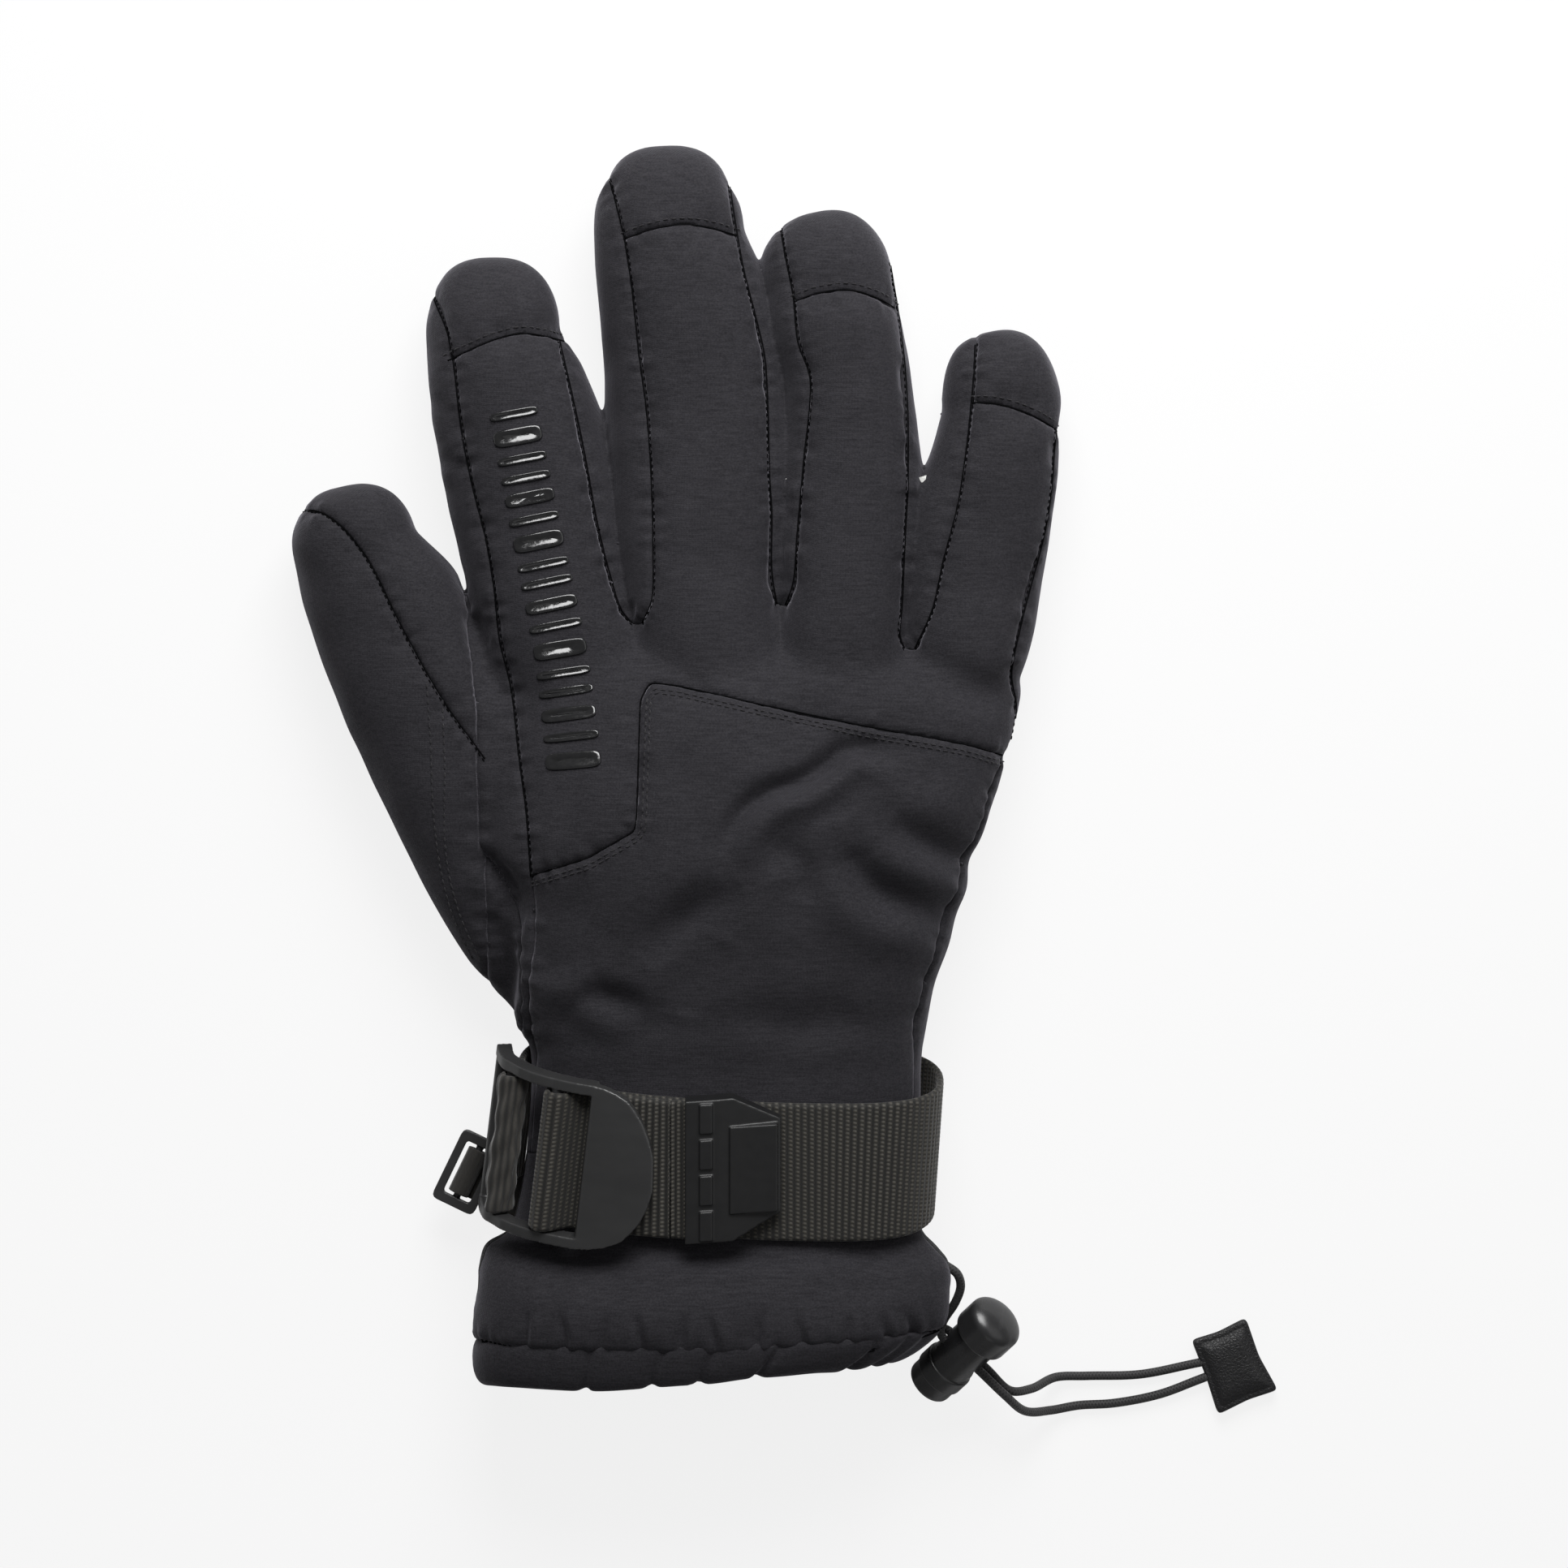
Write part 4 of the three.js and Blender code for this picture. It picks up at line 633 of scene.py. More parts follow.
HEM_EXIT = np.array([46.46, -130.53, 7.32])
HEM_ENTRY = strand_point(LOCK_ENTRY, 1)
UPPER_ROUTE = [
    at([1164, 1558], 20.5),
    at([1179, 1569], 20.2),
    at([1184, 1585], 18.6),
    at([1178, 1606], 16.5),
    at([1163, 1632], 14.0),
    *straight(-1),
    at([1266, 1746], 8.8),
    at([1300, 1749], 2.8),
    at([1334, 1744], 1.3),
    at([1380, 1741], 1.3),
    at([1436, 1730], 1.3),
    at([1486, 1711], 1.8),
]
LOWER_ROUTE = [
    HEM_EXIT,
    HEM_EXIT + (HEM_ENTRY - HEM_EXIT) * 0.35,
    HEM_EXIT + (HEM_ENTRY - HEM_EXIT) * 0.7,
    *straight(1),
    at([1274, 1719], 7.6),
    at([1306, 1708], 2.3),
    at([1345, 1707], 1.3),
    at([1412, 1705], 1.3),
    at([1481, 1691], 1.8),
]


def lay_cord(name, route, node):
    """One elastic strand from the cuff through the lock to the pull tab."""
    path = catmull(route, 130)
    end = path[-1] + unit(path[-1] - path[-3]) * TAB_OVERLAP
    made = tube_piece(name, np.vstack([path, end]), CORD_DIAMETER / 2, 14)
    settle(made, "glove", SHEATH, [node])
    return made, path


UPPER_CORD, UPPER_PATH = lay_cord("drawcord_upper", UPPER_ROUTE, "cord_strand_upper")
LOWER_CORD, LOWER_PATH = lay_cord("drawcord_lower", LOWER_ROUTE, "cord_strand_lower")


# Forms of the glove: stations are left x, left y, right x, right y in pixels, height in mm

FINGER_TOP = 28
THUMB_TOP = 29
INDEX = [
    [523, 410, 688, 404, 0.93], [527, 468, 716, 450, 0.98], [535, 530, 742, 514, 1],
    [546, 600, 757, 584, 1], [568, 700, 772, 690, 1.01], [580, 760, 784, 756, 1.02],
    [588, 800, 796, 800, 1.04], [650, 935, 800, 935, 0.95],
]
MIDDLE = [
    [732, 296, 917, 280, 0.93], [736, 362, 946, 352, 0.98], [743, 450, 970, 442, 1],
    [744, 520, 977, 520, 1], [748, 600, 981, 600, 1], [757, 690, 973, 690, 1.02],
    [772, 756, 964, 752, 1.06], [782, 800, 972, 800, 1.08], [805, 940, 960, 940, 1],
]
RING = [
    [939, 366, 1101, 330, 0.93], [944, 420, 1114, 404, 1], [960, 470, 1124, 460, 1],
    [963, 520, 1131, 520, 1], [958, 600, 1138, 600, 1], [953, 700, 1134, 690, 1.02],
    [958, 760, 1120, 760, 1.05], [955, 800, 1116, 800, 1.06], [972, 940, 1100, 940, 1],
]
LITTLE = [
    [1162, 504, 1309, 490, 0.88], [1146, 560, 1305, 570, 0.93], [1120, 620, 1297, 640, 0.93],
    [1109, 700, 1284, 730, 0.95], [1112, 800, 1266, 812, 1], [1105, 925, 1205, 935, 0.85],
]
THUMB = [
    [359, 688, 510, 652, 0.93], [373, 752, 562, 706, 0.98], [414, 866, 600, 806, 1],
    [448, 940, 650, 880, 1], [525, 1101, 730, 1020, 0.95], [574, 1182, 760, 1100, 0.85],
    [632, 1252, 790, 1190, 0.6],
]
FINGERS = [
    (INDEX, FINGER_TOP, 93), (MIDDLE, FINGER_TOP, 112), (RING, FINGER_TOP, 91),
    (LITTLE, FINGER_TOP, 94), (THUMB, THUMB_TOP, 74),
]
HAND = [
    [640, 782, 1236, 800, 20.3], [606, 836, 1260, 850, 31.2], [591, 930, 1233, 948, 36.7],
    [585, 1040, 1202, 1052, 39], [616, 1128, 1179, 1130, 37.8], [631, 1220, 1149, 1224, 35.9],
    [635, 1266, 1141, 1270, 34], [653, 1290, 1137, 1296, 34], [627, 1514, 1137, 1514, 34],
    [598, 1536, 1155, 1538, 34], [590, 1566, 1172, 1564, 38.7], [585, 1604, 1170, 1602, 42.1],
    [582, 1648, 1164, 1636, 43], [584, 1698, 1114, 1676, 41.3],
]


def station(row, inset, angle, share=1.0):
    """Rounded upright ring of a station at given angles, and the way across it."""
    left, right = flat(row[0:2]), flat(row[2:4])
    bottom = SOLE_HEIGHT - SOLE_SINK
    half_width = np.linalg.norm(right - left) / 2 - inset
    half_height = (row[4] - bottom) / 2 - inset
    across = unit(right - left)
    x = half_width * share * squared(np.cos(angle))
    z = half_height * share * squared(np.sin(angle))
    spots = (left + right) / 2 + across * x[:, None]
    return np.column_stack([spots, (row[4] + bottom) / 2 + z]), across


def section(row, inset, sides, share=1.0, ahead=0.0):
    """Ring of a station with even sides, moved ahead towards the fingertips."""
    ring, across = station(row, inset, (np.arange(sides) + 0.5) * 2 * np.pi / sides, share)
    ring[:, :2] += np.array([-across[1], across[0]]) * ahead
    return ring


def smoothed_rows(rows, count):
    rows = np.array(rows, float)
    middle = (rows[:, 0:2] + rows[:, 2:4]) / 2
    run = lengths(middle)
    return steady(run, rows, np.linspace(0, run[-1], count))


def finger_rings(rows, top, tip_px, inset, sides=44):
    table = np.array(rows, float)
    table[:, 4] *= top
    rings = [section(row, inset, sides) for row in smoothed_rows(table, 44)]
    reach = tip_px * PIXEL - inset
    for degrees in (9, 18, 27, 36, 45, 54, 62, 69, 75, 80, 84):
        angle = math.radians(degrees)
        ahead, share = reach * math.sin(angle), math.cos(angle) ** 0.75
        rings.insert(0, section(table[0], inset, sides, share, ahead))
    return rings


def glove_union(inset, voxel, mouth_run=12.0):
    """Fingers, thumb and hand as one skin, remeshed in even quads."""
    table = [*HAND, [*HAND[-1]]]
    table[-1][1] += mouth_run / PIXEL
    table[-1][3] += mouth_run / PIXEL
    forms = [[section(row, inset, 96) for row in smoothed_rows(table, 100)]]
    forms += [finger_rings(rows, top, tip, inset) for rows, top, tip in FINGERS]
    return remeshed(joined_skins("union", forms), voxel)


def edges_of(faces):
    """Edges of quads in order, the quad each belongs to, and where two in a row are one."""
    pairs = np.vstack([faces[:, [a, (a + 1) % 4]] for a in range(4)])
    owner = np.tile(np.arange(len(faces)), 4)
    pairs.sort(axis=1)
    order = np.lexsort((pairs[:, 1], pairs[:, 0]))
    pairs, owner = pairs[order], owner[order]
    return pairs, owner, np.flatnonzero(np.all(pairs[1:] == pairs[:-1], axis=1))


def unique_edges(faces):
    return np.unique(edges_of(faces)[0], axis=0)


def averaged(points, pairs, weight, times, mask=None):
    """Points moved towards the mean of their neighbours, some times over."""
    count = np.maximum(np.bincount(pairs.ravel(), minlength=len(points)), 1)[:, None]
    share = weight if mask is None else weight * mask[:, None]
    for _ in range(times):
        total = np.stack([
            np.bincount(pairs[:, 0], points[pairs[:, 1], c], len(points))
            + np.bincount(pairs[:, 1], points[pairs[:, 0], c], len(points))
            for c in range(3)
        ], -1)
        points = points + share * (total / count - points)
    return points


def normals_of(points, faces):
    a, b, c, d = (points[faces[:, k]] for k in range(4))
    face = np.cross(c - a, d - b)
    out = np.stack([
        np.bincount(faces.ravel(), np.repeat(face[:, k], 4), len(points)) for k in range(3)
    ], -1)
    return out / np.maximum(np.linalg.norm(out, axis=1), 1e-9)[:, None]


def inside(points, polygon):
    """Which points lie in an outline, seen from above."""
    found = np.zeros(len(points), bool)
    x, y = points[:, 0], points[:, 1]
    for (ax, ay), (bx, by) in zip(polygon, np.roll(polygon, -1, axis=0)):
        if ay == by:
            continue
        crosses = ((ay > y) != (by > y)) & (x < (bx - ax) * (y - ay) / (by - ay) + ax)
        found ^= crosses
    return found


def near_line(points, line):
    """Distance to a line, side of it and share along it, seen from above."""
    best = np.full(len(points), 1e9)
    side, share = np.zeros(len(points)), np.zeros(len(points))
    run = lengths(line)
    for k, (a, b) in enumerate(zip(line, line[1:])):
        way = b - a
        size = way @ way
        t = np.clip((points[:, :2] - a) @ way / size, 0, 1)
        off = points[:, :2] - (a + t[:, None] * way)
        distance = np.hypot(off[:, 0], off[:, 1])
        closer = distance < best
        best = np.where(closer, distance, best)
        turn = np.sign(way[0] * off[:, 1] - way[1] * off[:, 0])
        side = np.where(closer, turn, side)
        share = np.where(closer, (run[k] + t * math.sqrt(size)) / run[-1], share)
    return best, side, share


# Seam lines

INDEX_LEFT = [[533, 366], [553, 413], [560, 449], [570, 532], [583, 598], [600, 665], [610, 724],
              [617, 790], [630, 844], [642, 934], [652, 1005], [657, 1078]]
INDEX_RIGHT = [[689, 418], [706, 489], [722, 565], [736, 642], [752, 708], [766, 752], [779, 768]]
MIDDLE_LEFT = [[751, 222], [766, 277], [778, 348], [788, 439], [797, 506], [803, 585], [806, 705],
               [804, 742], [792, 768]]
MIDDLE_RIGHT = [[899, 227], [908, 286], [917, 336], [932, 395], [942, 439], [946, 497],
                [948, 585], [951, 632], [951, 705], [957, 744]]
RING_LEFT = [[961, 274], [967, 315], [977, 365], [983, 424], [998, 468], [990, 571], [982, 661],
             [977, 720], [968, 745]]
RING_RIGHT = [[1098, 324], [1106, 371], [1114, 439], [1118, 497], [1118, 600], [1114, 676],
              [1111, 749], [1108, 782], [1114, 799]]
LITTLE_LEFT = [[1202, 424], [1198, 480], [1191, 546], [1180, 620], [1161, 694], [1148, 752],
               [1127, 799]]
LITTLE_RIGHT = [[1302, 528], [1291, 639], [1258, 768], [1246, 831], [1253, 872], [1244, 931]]
PANEL_SEAM = [[1240, 932], [1189, 918], [1063, 895], [937, 869], [836, 846], [802, 842],
              [791, 863], [787, 1006], [785, 1023], [726, 1057], [657, 1078]]
CAP_LINES = {
    "index": [[553, 446], [580, 434], [620, 418], [646, 413], [689, 418], [730, 424]],
    "middle": [[769, 297], [797, 288], [829, 281], [864, 281], [908, 290]],
    "ring": [[978, 374], [1008, 364], [1046, 360], [1075, 367], [1106, 380]],
    "little": [[1197, 497], [1228, 499], [1265, 510], [1302, 528], [1335, 540]],
}
CAP_REGIONS = {
    "index": CAP_LINES["index"] + [[730, 290], [540, 290], [533, 366], [553, 413]],
    "middle": CAP_LINES["middle"] + [[899, 227], [915, 140], [735, 140], [751, 222]],
    "ring": CAP_LINES["ring"] + [[1098, 324], [1105, 230], [950, 230], [961, 274], [967, 315]],
    "little": CAP_LINES["little"] + [[1335, 380], [1205, 380], [1202, 424]],
}
THUMB_REGION = [[320, 560], [520, 560], [556, 668], [574, 736], [585, 806], [590, 870],
                [591, 1040], [622, 1100], [641, 1150], [644, 1260], [640, 1290], [320, 1290]]
THUMB_SEAM = [[340, 600], [371, 627], [397, 632], [425, 651], [458, 693], [496, 769],
              [529, 830], [555, 873], [600, 935]]
HEM_SEAM = [[540, 1646], [597, 1648], [682, 1656], [805, 1658], [878, 1662], [952, 1656],
            [1029, 1658], [1091, 1652], [1164, 1634], [1230, 1622]]
FINGER_BACKS = (
    INDEX_LEFT[::-1][1:] + [[560, 300], [689, 300]] + INDEX_RIGHT + [[786, 772]]
    + MIDDLE_LEFT[::-1] + [[790, 160], [880, 160]] + MIDDLE_RIGHT + [[963, 749]]
    + RING_LEFT[::-1] + [[975, 240], [1080, 240]] + RING_RIGHT + [[1120, 801]]
    + LITTLE_LEFT[::-1] + [[1220, 390], [1280, 400]] + LITTLE_RIGHT
)
HAND_BACK = [[656, 1100], [662, 1150], [652, 1250], [655, 1420], [1122, 1420], [1128, 1260],
             [1152, 1170], [1186, 1080], [1222, 960]]
WRIST_LINE_Y = 1420
BELOW_HEM = HEM_SEAM + [[1230, 1900], [540, 1900]]

PANEL_NAMES = [
    "hem", "index_tip_cap", "middle_tip_cap", "ring_tip_cap", "little_tip_cap",
    "thumb_palm_panel", "thumb_outer_panel", "thumb_back_panel", "cuff_back_panel",
    "cuff_palm_panel", "palm_panel", "back_finger_panel", "back_hand_panel",
    "index_side_panel", "index_middle_fourchette", "middle_ring_fourchette",
    "ring_little_fourchette", "little_side_panel",
]


def panel_labels(points, faces):
    """Which panel each face of the shell belongs to, as an index in PANEL_NAMES."""
    middle = points[faces].mean(1)
    low = middle[:, 2]
    label = np.full(len(faces), -1)

    def take(name, mask):
        label[(label < 0) & mask] = PANEL_NAMES.index(name)

    take("hem", inside(middle, flat(BELOW_HEM)))
    for name, outline in CAP_REGIONS.items():
        take(name + "_tip_cap", inside(middle, flat(outline)))
    thumb = inside(middle, flat(THUMB_REGION))
    take("thumb_palm_panel", thumb & (low < 8))
    outer = inside(middle, flat(THUMB_SEAM + [[600, 1300], [300, 1300], [300, 600]]))
    take("thumb_outer_panel", thumb & outer)
    take("thumb_back_panel", thumb)
    cuff = middle[:, 1] < flat([0, WRIST_LINE_Y])[1]
    take("cuff_back_panel", cuff & (low > 20))
    take("cuff_palm_panel", cuff)
    take("palm_panel", low < 8)
    take("back_finger_panel", inside(middle, flat(PANEL_SEAM + FINGER_BACKS)) & (low > 15))
    take("back_hand_panel", inside(middle, flat(PANEL_SEAM + HAND_BACK)) & (low > 22))
    return name_sides(label, faces, middle)


def name_sides(label, faces, middle):
    """Splits what is left into the side walls of the fingers, from left to right."""
    _, owner, same = edges_of(faces)
    near = np.stack([owner[same], owner[same + 1]], -1)
    linked = near[label[near[:, 0]] == label[near[:, 1]]]
    group = np.arange(len(faces))
    while True:
        lowest = group.copy()
        np.minimum.at(lowest, linked[:, 0], group[linked[:, 1]])
        np.minimum.at(lowest, linked[:, 1], group[linked[:, 0]])
        lowest = lowest[lowest]
        if np.array_equal(lowest, group):
            break
        group = lowest
    names, sizes = np.unique(group[label < 0], return_counts=True)
    big = names[np.argsort(sizes)[-5:]]
    big = sorted(big, key=lambda g: middle[group == g, 0].mean())
    first = PANEL_NAMES.index("index_side_panel")
    for k, g in enumerate(big):
        label[group == g] = first + k
    for _ in range(60):
        sizes = np.bincount(group, minlength=len(group))
        loose = (sizes[group] < 60) | (label < 0)
        if not loose.any():
            break
        a, b = near[:, 0], near[:, 1]
        for one, two in ((a, b), (b, a)):
            take = loose[one] & ~loose[two]
            label[one[take]] = label[two[take]]
            group[one[take]] = group[two[take]]
    return label


# Folds of the back, traced in pixels: line, depth, width, rise of the bank on one side
FOLDS = [
    ([[888, 1062], [898, 1030], [916, 1000], [946, 976], [986, 962], [1014, 944], [1044, 922],
      [1112, 926]], 3.5, 2.5, 2.1),
    ([[936, 1040], [965, 1048], [990, 1070], [984, 1112]], 2.5, 4.4, 0.6),
    ([[1030, 1010], [1048, 1056], [1078, 1094], [1122, 1114], [1176, 1126]], 3.4, 4.2, 1.5),
    ([[1094, 1010], [1142, 1040], [1206, 1066]], 3.0, 3.8, 1.2),
    ([[912, 1080], [872, 1112], [836, 1140], [792, 1184]], 2.3, 4.4, 1.0),
    ([[716, 1214], [745, 1224], [800, 1236]], 2.4, 3.2, 1.5),
    ([[655, 1212], [690, 1214], [740, 1200]], -1.4, 3.4, 0.0),
    ([[884, 1150], [858, 1204], [846, 1250]], 1.5, 5.4, 0.6),
    ([[668, 1262], [760, 1270], [850, 1262]], 1.1, 5.0, 0.4),
    ([[900, 1240], [980, 1256], [1060, 1240]], 0.9, 6.0, 0.3),
    ([[1138, 806], [1196, 846], [1246, 862]], 1.5, 4.4, 0.4),
    ([[1010, 1006], [1032, 1028], [1044, 1060]], -1.5, 4.0, 0.0),
    ([[1060, 960], [1120, 980], [1190, 1010]], -1.0, 5.0, 0.0),
    ([[640, 1120], [656, 1180], [650, 1262]], -1.2, 2.8, 0.0),
    ([[585, 1046], [606, 1064], [628, 1088], [642, 1150]], 2.4, 2.6, 0.9),
    ([[600, 1118], [622, 1170], [632, 1250]], 2.2, 2.8, 0.4),
    ([[604, 760], [596, 800], [606, 860]], 1.0, 2.8, 0.4),
    ([[536, 486], [556, 510], [566, 540]], 0.7, 1.8, 0.5),
    ([[545, 560], [566, 576], [574, 600]], 0.6, 1.8, 0.4),
    ([[700, 780], [720, 830], [716, 890]], 0.6, 5.0, 0.3),
    ([[640, 1560], [760, 1572], [900, 1566]], 0.8, 4.4, 0.4),
    ([[960, 1590], [1060, 1578], [1150, 1560]], 0.9, 4.4, 0.4),
    ([[560, 1648], [597, 1648], [682, 1656], [805, 1658], [878, 1662], [952, 1656],
      [1060, 1646], [1190, 1632]], 1.3, 1.0, 0.5),
]
FOLDS += [([[x, 1657], [x + 3, 1644], [x + lean, 1606]], 1.0, 0.9, 0.4) for x, lean in (
    (650, 6), (700, -5), (742, 10), (790, -4), (838, 8), (880, -8), (930, 6), (985, -6),
    (1040, 5), (1090, -8), (1126, -12))]


# Rows of pixels between which the knuckles are smoothed, and the strap holds the cloth down
KNUCKLES_PX, STRAP_PX = (960, 900, 745, 800), (1275, 1325, 1545, 1512)


def band(points, low_none, low_full, high_none, high_full):
    """Share of a band across the glove at each point, fading at both its edges."""
    row = ORIGIN_PX[1] - points[:, 1] / PIXEL
    return ease(low_none, low_full, row) * ease(high_none, high_full, row)


def sway(points, size, seed):
    """Smooth seeded noise at points in millimetres, about -0.5 to 0.5."""
    offset = Vector((seed * 17.3, seed * 5.1, seed * 9.7))
    return np.array([noise.noise(Vector(p) / size + offset) for p in points])


def near_seams(points, faces, label):
    """Smooths the seam edges, and gives each point's distance to the nearest seam."""
    pairs, owner, same = edges_of(faces)
    seam = same[label[owner[same]] != label[owner[same + 1]]]
    edges = pairs[seam]
    on_seam = np.zeros(len(points), bool)
    on_seam[edges.ravel()] = True
    degree = np.bincount(edges.ravel(), minlength=len(points))
    points = averaged(points, edges, 0.5, 14, (on_seam & (degree == 2)).astype(float))
    unique = pairs[np.r_[True, np.any(pairs[1:] != pairs[:-1], axis=1)]]
    points = averaged(points, unique, 0.4, 3, (~on_seam).astype(float))
    spots = np.vstack([points[on_seam], points[edges].mean(1)])
    tree = KDTree(len(spots))
    for k, spot in enumerate(spots):
        tree.insert(Vector(spot), k)
    tree.balance()
    found = [tree.find(Vector(p)) for p in points]
    distance = np.array([f[2] for f in found])
    foot = np.array([f[0][:] for f in found])
    return points, unique, on_seam, distance, foot


def shape_shell():
    """The shell with its puffed panels, seam grooves, puckers and folds."""
    points, faces = glove_union(SHELL_INSET, SHELL_VOXEL)
    pairs = unique_edges(faces)
    points = averaged(points, pairs, 0.5, 5)
    knuckles = band(points, *KNUCKLES_PX) * ease(14, 22, points[:, 2])
    points = averaged(points, pairs, 0.5, 70, knuckles)
    label = panel_labels(points, faces)
    points, pairs, on_seam, distance, foot = near_seams(points, faces, label)
    normal = normals_of(points, faces)
    strap = band(points, *STRAP_PX)
    free = 1 - strap
    top = ease(10, 20, points[:, 2])
    faced = 0.3 + 0.7 * ease(0.1, 0.6, normal[:, 2])
    pucker = sway(foot, 2.3, 1) + 0.6 * sway(foot, 5.5, 2)
    broad = sway(points, 26, 3)
    small = sway(points, 10, 4)
    lift = PUFF * (1 - bump_of(distance, PUFF_REACH))
    lift -= GROOVE * bump_of(distance, GROOVE_REACH) * faced
    near = bump_of(distance - PUCKER_PLACE, PUCKER_REACH) * (0.4 + 0.6 * faced)
    lift += PUCKER * pucker * near
    lift += (0.9 * broad + 0.5 * small) * top
    for line, depth, width, bank in FOLDS:
        line = catmull(flat(line), 24)
        away, side, share = near_line(points, line)
        fade = np.sin(np.pi * np.clip(share, 0.02, 0.98)) ** 0.7 * top
        lift -= depth * bump_of(away, width) * fade
        lift += bank * bump_of(away * -side - 1.9 * width, 1.2 * width) * fade
    lift *= free
    lift = np.minimum(lift, 0.1 * strap + 3 * free)
    points = points + normal * lift[:, None]
    points = averaged(points, pairs, 0.35, 1, (~on_seam).astype(float))
    points[:, 2] = np.maximum(points[:, 2], SOLE_HEIGHT)
    return points, faces, label


SHELL_POINTS, SHELL_FACES, SHELL_LABEL = shape_shell()
SHELL_TREE = BVHTree.FromPolygons(SHELL_POINTS.tolist(), SHELL_FACES.tolist())


def cut_panel(name, faces, points, wall, material, replaced):
    """A panel of the glove as its own piece, thickened inward."""
    used, index = np.unique(faces, return_inverse=True)
    made = new_piece(name, mesh_from(name, points[used], [index.reshape(-1, 4)]))
    thick = made.modifiers.new("wall", "SOLIDIFY")
    thick.thickness, thick.offset = wall * MM, -1
    return settle(made, "glove", material, replaced)


LEATHER_PANELS = ("palm_panel", "thumb_palm_panel", "cuff_palm_panel")
for number, panel_name in enumerate(PANEL_NAMES[1:], 1):
    hide = panel_name in LEATHER_PANELS
    cut_panel(
        "shell_" + panel_name, SHELL_FACES[SHELL_LABEL == number], SHELL_POINTS, SHELL_WALL,
        HIDE if hide else FABRIC, [panel_name],
    )


def inner_layer(name, inset, wall, material):
    """Insulation or lining: a skin well inside the shell, open at the mouth."""
    points, faces = glove_union(inset, 2.0)
    pairs = unique_edges(faces)
    points = averaged(points, pairs, 0.5, 3)
    for _ in range(3):
        moved = []
        for point in points:
            spot, normal, _, _ = SHELL_TREE.find_nearest(Vector(point))
            lack = inset - 0.5 + (Vector(point) - spot).dot(normal)
            moved.append(np.array(normal) * -max(0.0, min(lack, 2.5)))
        points = averaged(points + np.array(moved), pairs, 0.3, 1)
    points[:, 2] = np.maximum(points[:, 2], SOLE_HEIGHT + inset)
    middle = points[faces].mean(1)
    keep = ~inside(middle, flat(BELOW_HEM))
    return cut_panel(name, faces[keep], points, wall, material, [name])


inner_layer("insulation", 2.5, 1.0, FILL).name = "insulation_layer"
inner_layer("lining", 3.9, 0.5, KNIT).name = "lining_layer"


# Hem tunnel, gathered by its cord

HEM_TOP_ROW, HEM_LOW_ROW = HAND[-2], HAND[-1]
PUCKERS_PX = [724, 813, 876, 952, 1072, 1104, 1126]
GATHER_STEP, GATHER_SWING, GATHER_DEPTH = 7.5, 3.0, 0.9
HEM_SAG, HEM_SAG_PX, HEM_SAG_REACH_PX = 2.0, 765, 170


def hem_ring(share, inset, angle):
    """Ring of the hem at a share of its height, kept above the table."""
    row = [a + (b - a) * share for a, b in zip(HEM_TOP_ROW, HEM_LOW_ROW)]
    ring, _ = station(row, inset, angle)
    ring[:, 2] = np.maximum(ring[:, 2], SOLE_HEIGHT + inset)
    return ring


def make_hem():
    """The hem as a ring of folded cloth, drawn in at its gathers."""
    count = 560
    angle = turns(count)
    base = hem_ring(0.5, 0.0, angle)
    run = lengths(np.vstack([base, base[:1]]))
    gather = np.zeros(count)
    on_top = (angle > 0) & (angle < np.pi)
    for pixel in PUCKERS_PX:
        away = np.where(on_top, np.abs(base[:, 0] - flat([pixel, 0])[0]), 99)
        gather = np.maximum(gather, bump_of(away, 1.3))
    spot, step = 0.0, 0
    while spot < run[-1]:
        away = np.abs(run[:-1] - spot)
        gather = np.maximum(gather, np.where(on_top, 0, 0.8) * bump_of(away, 1.1))
        spot += GATHER_STEP + GATHER_SWING * math.sin(2.4 * step)
        step += 1
    soft = sway(base, 11, 6)
    # Profile: share down the tunnel and inset, from the outer seam to the lining
    profile = [(-0.04, 1.9), (0.02, 0.95), (0.10, 0.35), (0.25, -0.10), (0.45, -0.30),
               (0.65, -0.25), (0.82, 0.15), (0.94, 0.85), (1.0, 1.9), (0.98, 3.0),
               (0.9, 3.8), (0.7, 4.15), (0.45, 4.2), (0.2, 4.2), (0.0, 4.15), (-0.05, 3.4)]
    fine = catmull([[a, b, 0] for a, b in [*profile, profile[0]]], 49)[:-1]
    rings = []
    for share, inset, _ in fine:
        outer = ease(3.2, 1.0, inset) * ease(-0.05, 0.12, share)
        pull = gather * outer
        ring = hem_ring(share, inset, angle)
        shrink = GATHER_DEPTH * pull - 0.5 * soft * outer
        centre = ring.mean(0)
        away = ring - centre
        away[:, 1] = 0
        size = np.linalg.norm(away, axis=1)
        ring = ring - away / size[:, None] * shrink[:, None]
        away_px = ring[:, 0] / PIXEL + ORIGIN_PX[0] - HEM_SAG_PX
        sag = HEM_SAG * bump_of(away_px, HEM_SAG_REACH_PX) * ease(16, 26, ring[:, 2])
        ring[:, 1] += (0.8 * gather + 0.5 * soft - sag) * ease(0.4, 1.0, share)
        ring[:, 2] = np.maximum(ring[:, 2], SOLE_HEIGHT + max(inset, 0) * 0.9)
        rings.append(ring)
    rings = np.array([*rings, rings[0]]).transpose(1, 0, 2)[:, :-1]
    rings = np.concatenate([rings, rings[:1]])
    made = merged(skin_piece("hem_tunnel_fabric", rings, caps=False), 0.01, outward=True)
    settle(made, "glove", FABRIC, ["hem_tunnel"])


make_hem()


